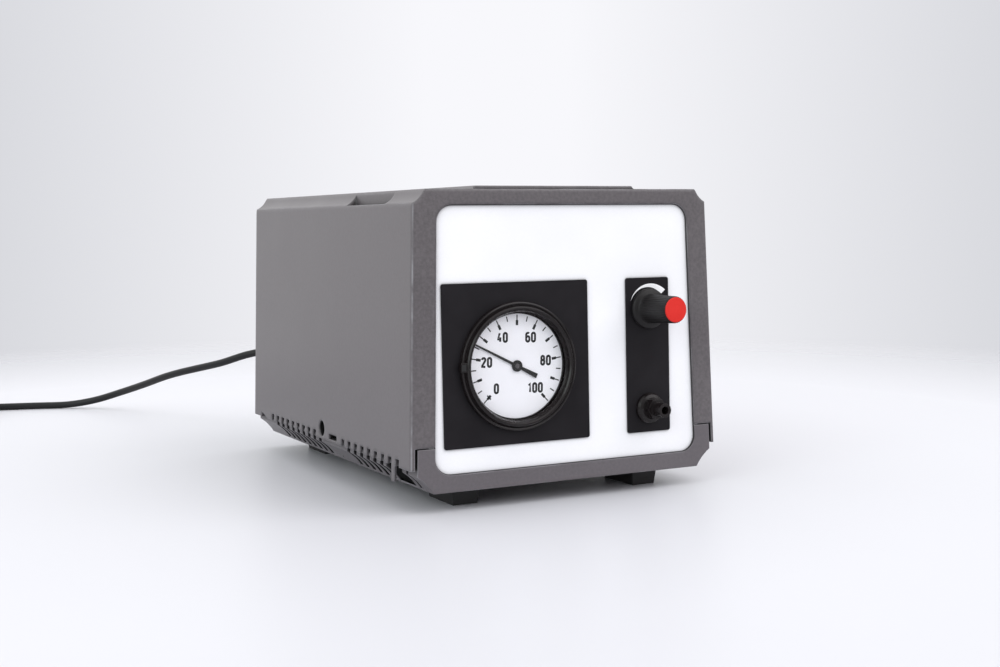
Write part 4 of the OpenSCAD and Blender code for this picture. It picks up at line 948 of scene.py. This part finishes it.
def plateauBlock(b):
    # the roof's raised field: upright walls in front and behind, sloping ones at the sides
    bpy.ops.mesh.primitive_cube_add(size=1)
    block = bpy.context.object
    for vertex in block.data.vertices:
        if vertex.co.z > 0:
            vertex.co.x *= 1 - 2 * b["slope"] / b["wide"]
    block.scale = (b["wide"] * mm, (b["y"][1] - b["y"][0]) * mm, b["deep"] * mm)
    settle(block)
    addModifier(block, "BEVEL", width=b["round"] * mm, segments=3, limit_method="ANGLE")
    return block


finishPiece(plateauBlock(plateau), "plateauField", caseAbs, "pump_case",
            Matrix.Translation(casePoint(0, sum(plateau["y"]) / 2, plateau["top"] - plateau["deep"] / 2)))
print("roof field raised")

# radii in millimetres and angles in degrees, from the arc's point to its broad end
arc = {"inner": 11.7, "outer": (11.8, 15.3), "growth": 1.35, "from": 156, "to": 41, "ink": 0.08, "steps": 40}


def flowArc(a):
    # a crescent that grows from a point to a broad square end: more vacuum that way
    bpy.ops.mesh.primitive_grid_add(x_subdivisions=a["steps"], y_subdivisions=1, size=1)
    crescent = bpy.context.object
    for vertex in crescent.data.vertices:
        t, side = vertex.co.x + 0.5, vertex.co.y + 0.5
        angle = radians(a["from"] + (a["to"] - a["from"]) * t)
        outer = a["outer"][0] + (a["outer"][1] - a["outer"][0]) * t ** a["growth"]
        r = a["inner"] + (outer - a["inner"]) * side
        vertex.co = Vector((r * cos(angle) * mm, r * sin(angle) * mm, a["ink"] * mm))
    thicken(crescent, (0, 0, -a["ink"] * mm))
    return crescent


# arc print: white screen ink on the foil
arcInk = mouldedPlastic("whiteScreenInkPrinted", {
    "dark": "#f2f2f5", "light": "#f9f9fb", "cloud": 9, "grain": 0.5, "fleck": 0.02, "edge": 0.02,
    "depth": 0.002, "rough": 0.55, "ior": 1.5})
finishPiece(flowArc(arc), "flowArc", arcInk, "pump_case",
            frontMatrix(*layout["knob"], out=layout["plateFace"]), smooth=0)

# radius and height above the plate of the skirt, radius and depth below the end of the rim and the bores
knobShape = {"length": 26.4, "flutes": 36, "deep": 0.22, "steps": 216, "rows": 8,
             "skirt": [(9, 1), (11, 1), (11, 2.2), (10.8, 2.7), (10.4, 3.2), (8.7, 3.55), (8.2, 3.8)],
             "gripRadii": (7.9, 7.2), "gripFrom": 4.4, "gripTo": 0.5,
             "rim": [(6.95, 0.1), (6.8, 0), (6.25, 0), (6.25, 1.25), (0, 1.25), (0, 2.35), (5.25, 2.35)],
             "socket": [(5.25, 2.6), (9, 2.6)], "fluted": 6.9, "plainLow": 4.8, "plainHigh": 0.3}


def flutedKnob(k):
    # skirt, then a tapered grip whose side is finely fluted, hollow for the nut, collet and cap
    face, end = layout["plateFace"], k["length"]
    wide, narrow = k["gripRadii"]
    low, high = face + k["gripFrom"], end - k["gripTo"]
    profile = [(r, face + z) for r, z in k["skirt"]]
    for row in range(k["rows"] + 1):
        t = row / k["rows"]
        profile.append((wide - (wide - narrow) * t, low + (high - low) * t))
    profile += [(r, end - z) for r, z in k["rim"]] + [(r, face + z) for r, z in k["socket"]]
    knob = spunPiece(profile, k["steps"])
    for vertex in knob.data.vertices:
        r, z = hypot(vertex.co.x, vertex.co.y) / mm, vertex.co.z / mm
        if r > k["fluted"] and face + k["plainLow"] < z < end - k["plainHigh"]:
            cut = k["deep"] * (0.5 - 0.5 * cos(k["flutes"] * atan2(vertex.co.y, vertex.co.x)))
            vertex.co.x *= 1 - cut / r
            vertex.co.y *= 1 - cut / r
    return knob


knob = flutedKnob(knobShape)
finishPiece(knob, "regulatorKnob", knobPlastic, "regulator", frontMatrix(*layout["knob"]),
            smooth=40)
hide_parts("control_knob")
print("knob and its arc made")

# the rocker is a shallow roof: its two faces rise from the middle, and a mark lies on each
rockerMarks = {"face": 3.4, "rise": radians(10.4), "apart": 6.2, "sunk": -2, "ink": 0.07,
               "bar": (-2, 2, 0.8), "ring": 1.9, "stroke": 0.6, "sides": 36}


def markShape(kind, m):
    # a bar for on, a ring for off
    if kind == "on":
        bar = printedBar(*m["bar"], m["ink"])
        bar.rotation_euler = (0, 0, radians(90))
        settle(bar)
        return bar
    bpy.ops.mesh.primitive_circle_add(vertices=m["sides"], radius=m["ring"] * mm, fill_type="NGON")
    ring = bpy.context.object
    bpy.ops.object.mode_set(mode="EDIT")
    bpy.ops.mesh.select_all(action="SELECT")
    bpy.ops.mesh.inset(thickness=m["stroke"] * mm)
    bpy.ops.mesh.delete(type="FACE")
    thicken(ring, (0, 0, m["ink"] * mm))
    return ring


def markPlace(kind, m):
    side = 1 if kind == "on" else -1
    lift = m["face"] + m["apart"] * sin(m["rise"]) / cos(m["rise"])
    slope = Matrix.Rotation(side * m["rise"], 4, "X")
    onRocker = Matrix.Translation((0, side * m["apart"] * mm, lift * mm)) @ slope
    tilt = Matrix.Rotation(layout["switchTilt"], 4, "X")
    return rearMatrix(*layout["switch"], out=m["sunk"]) @ tilt @ onRocker


for kind in ("on", "off"):
    finishPiece(markShape(kind, rockerMarks), kind + "Mark", arcInk, "rocker",
                markPlace(kind, rockerMarks), smooth=0)
print("rocker marked")

print("scene built")
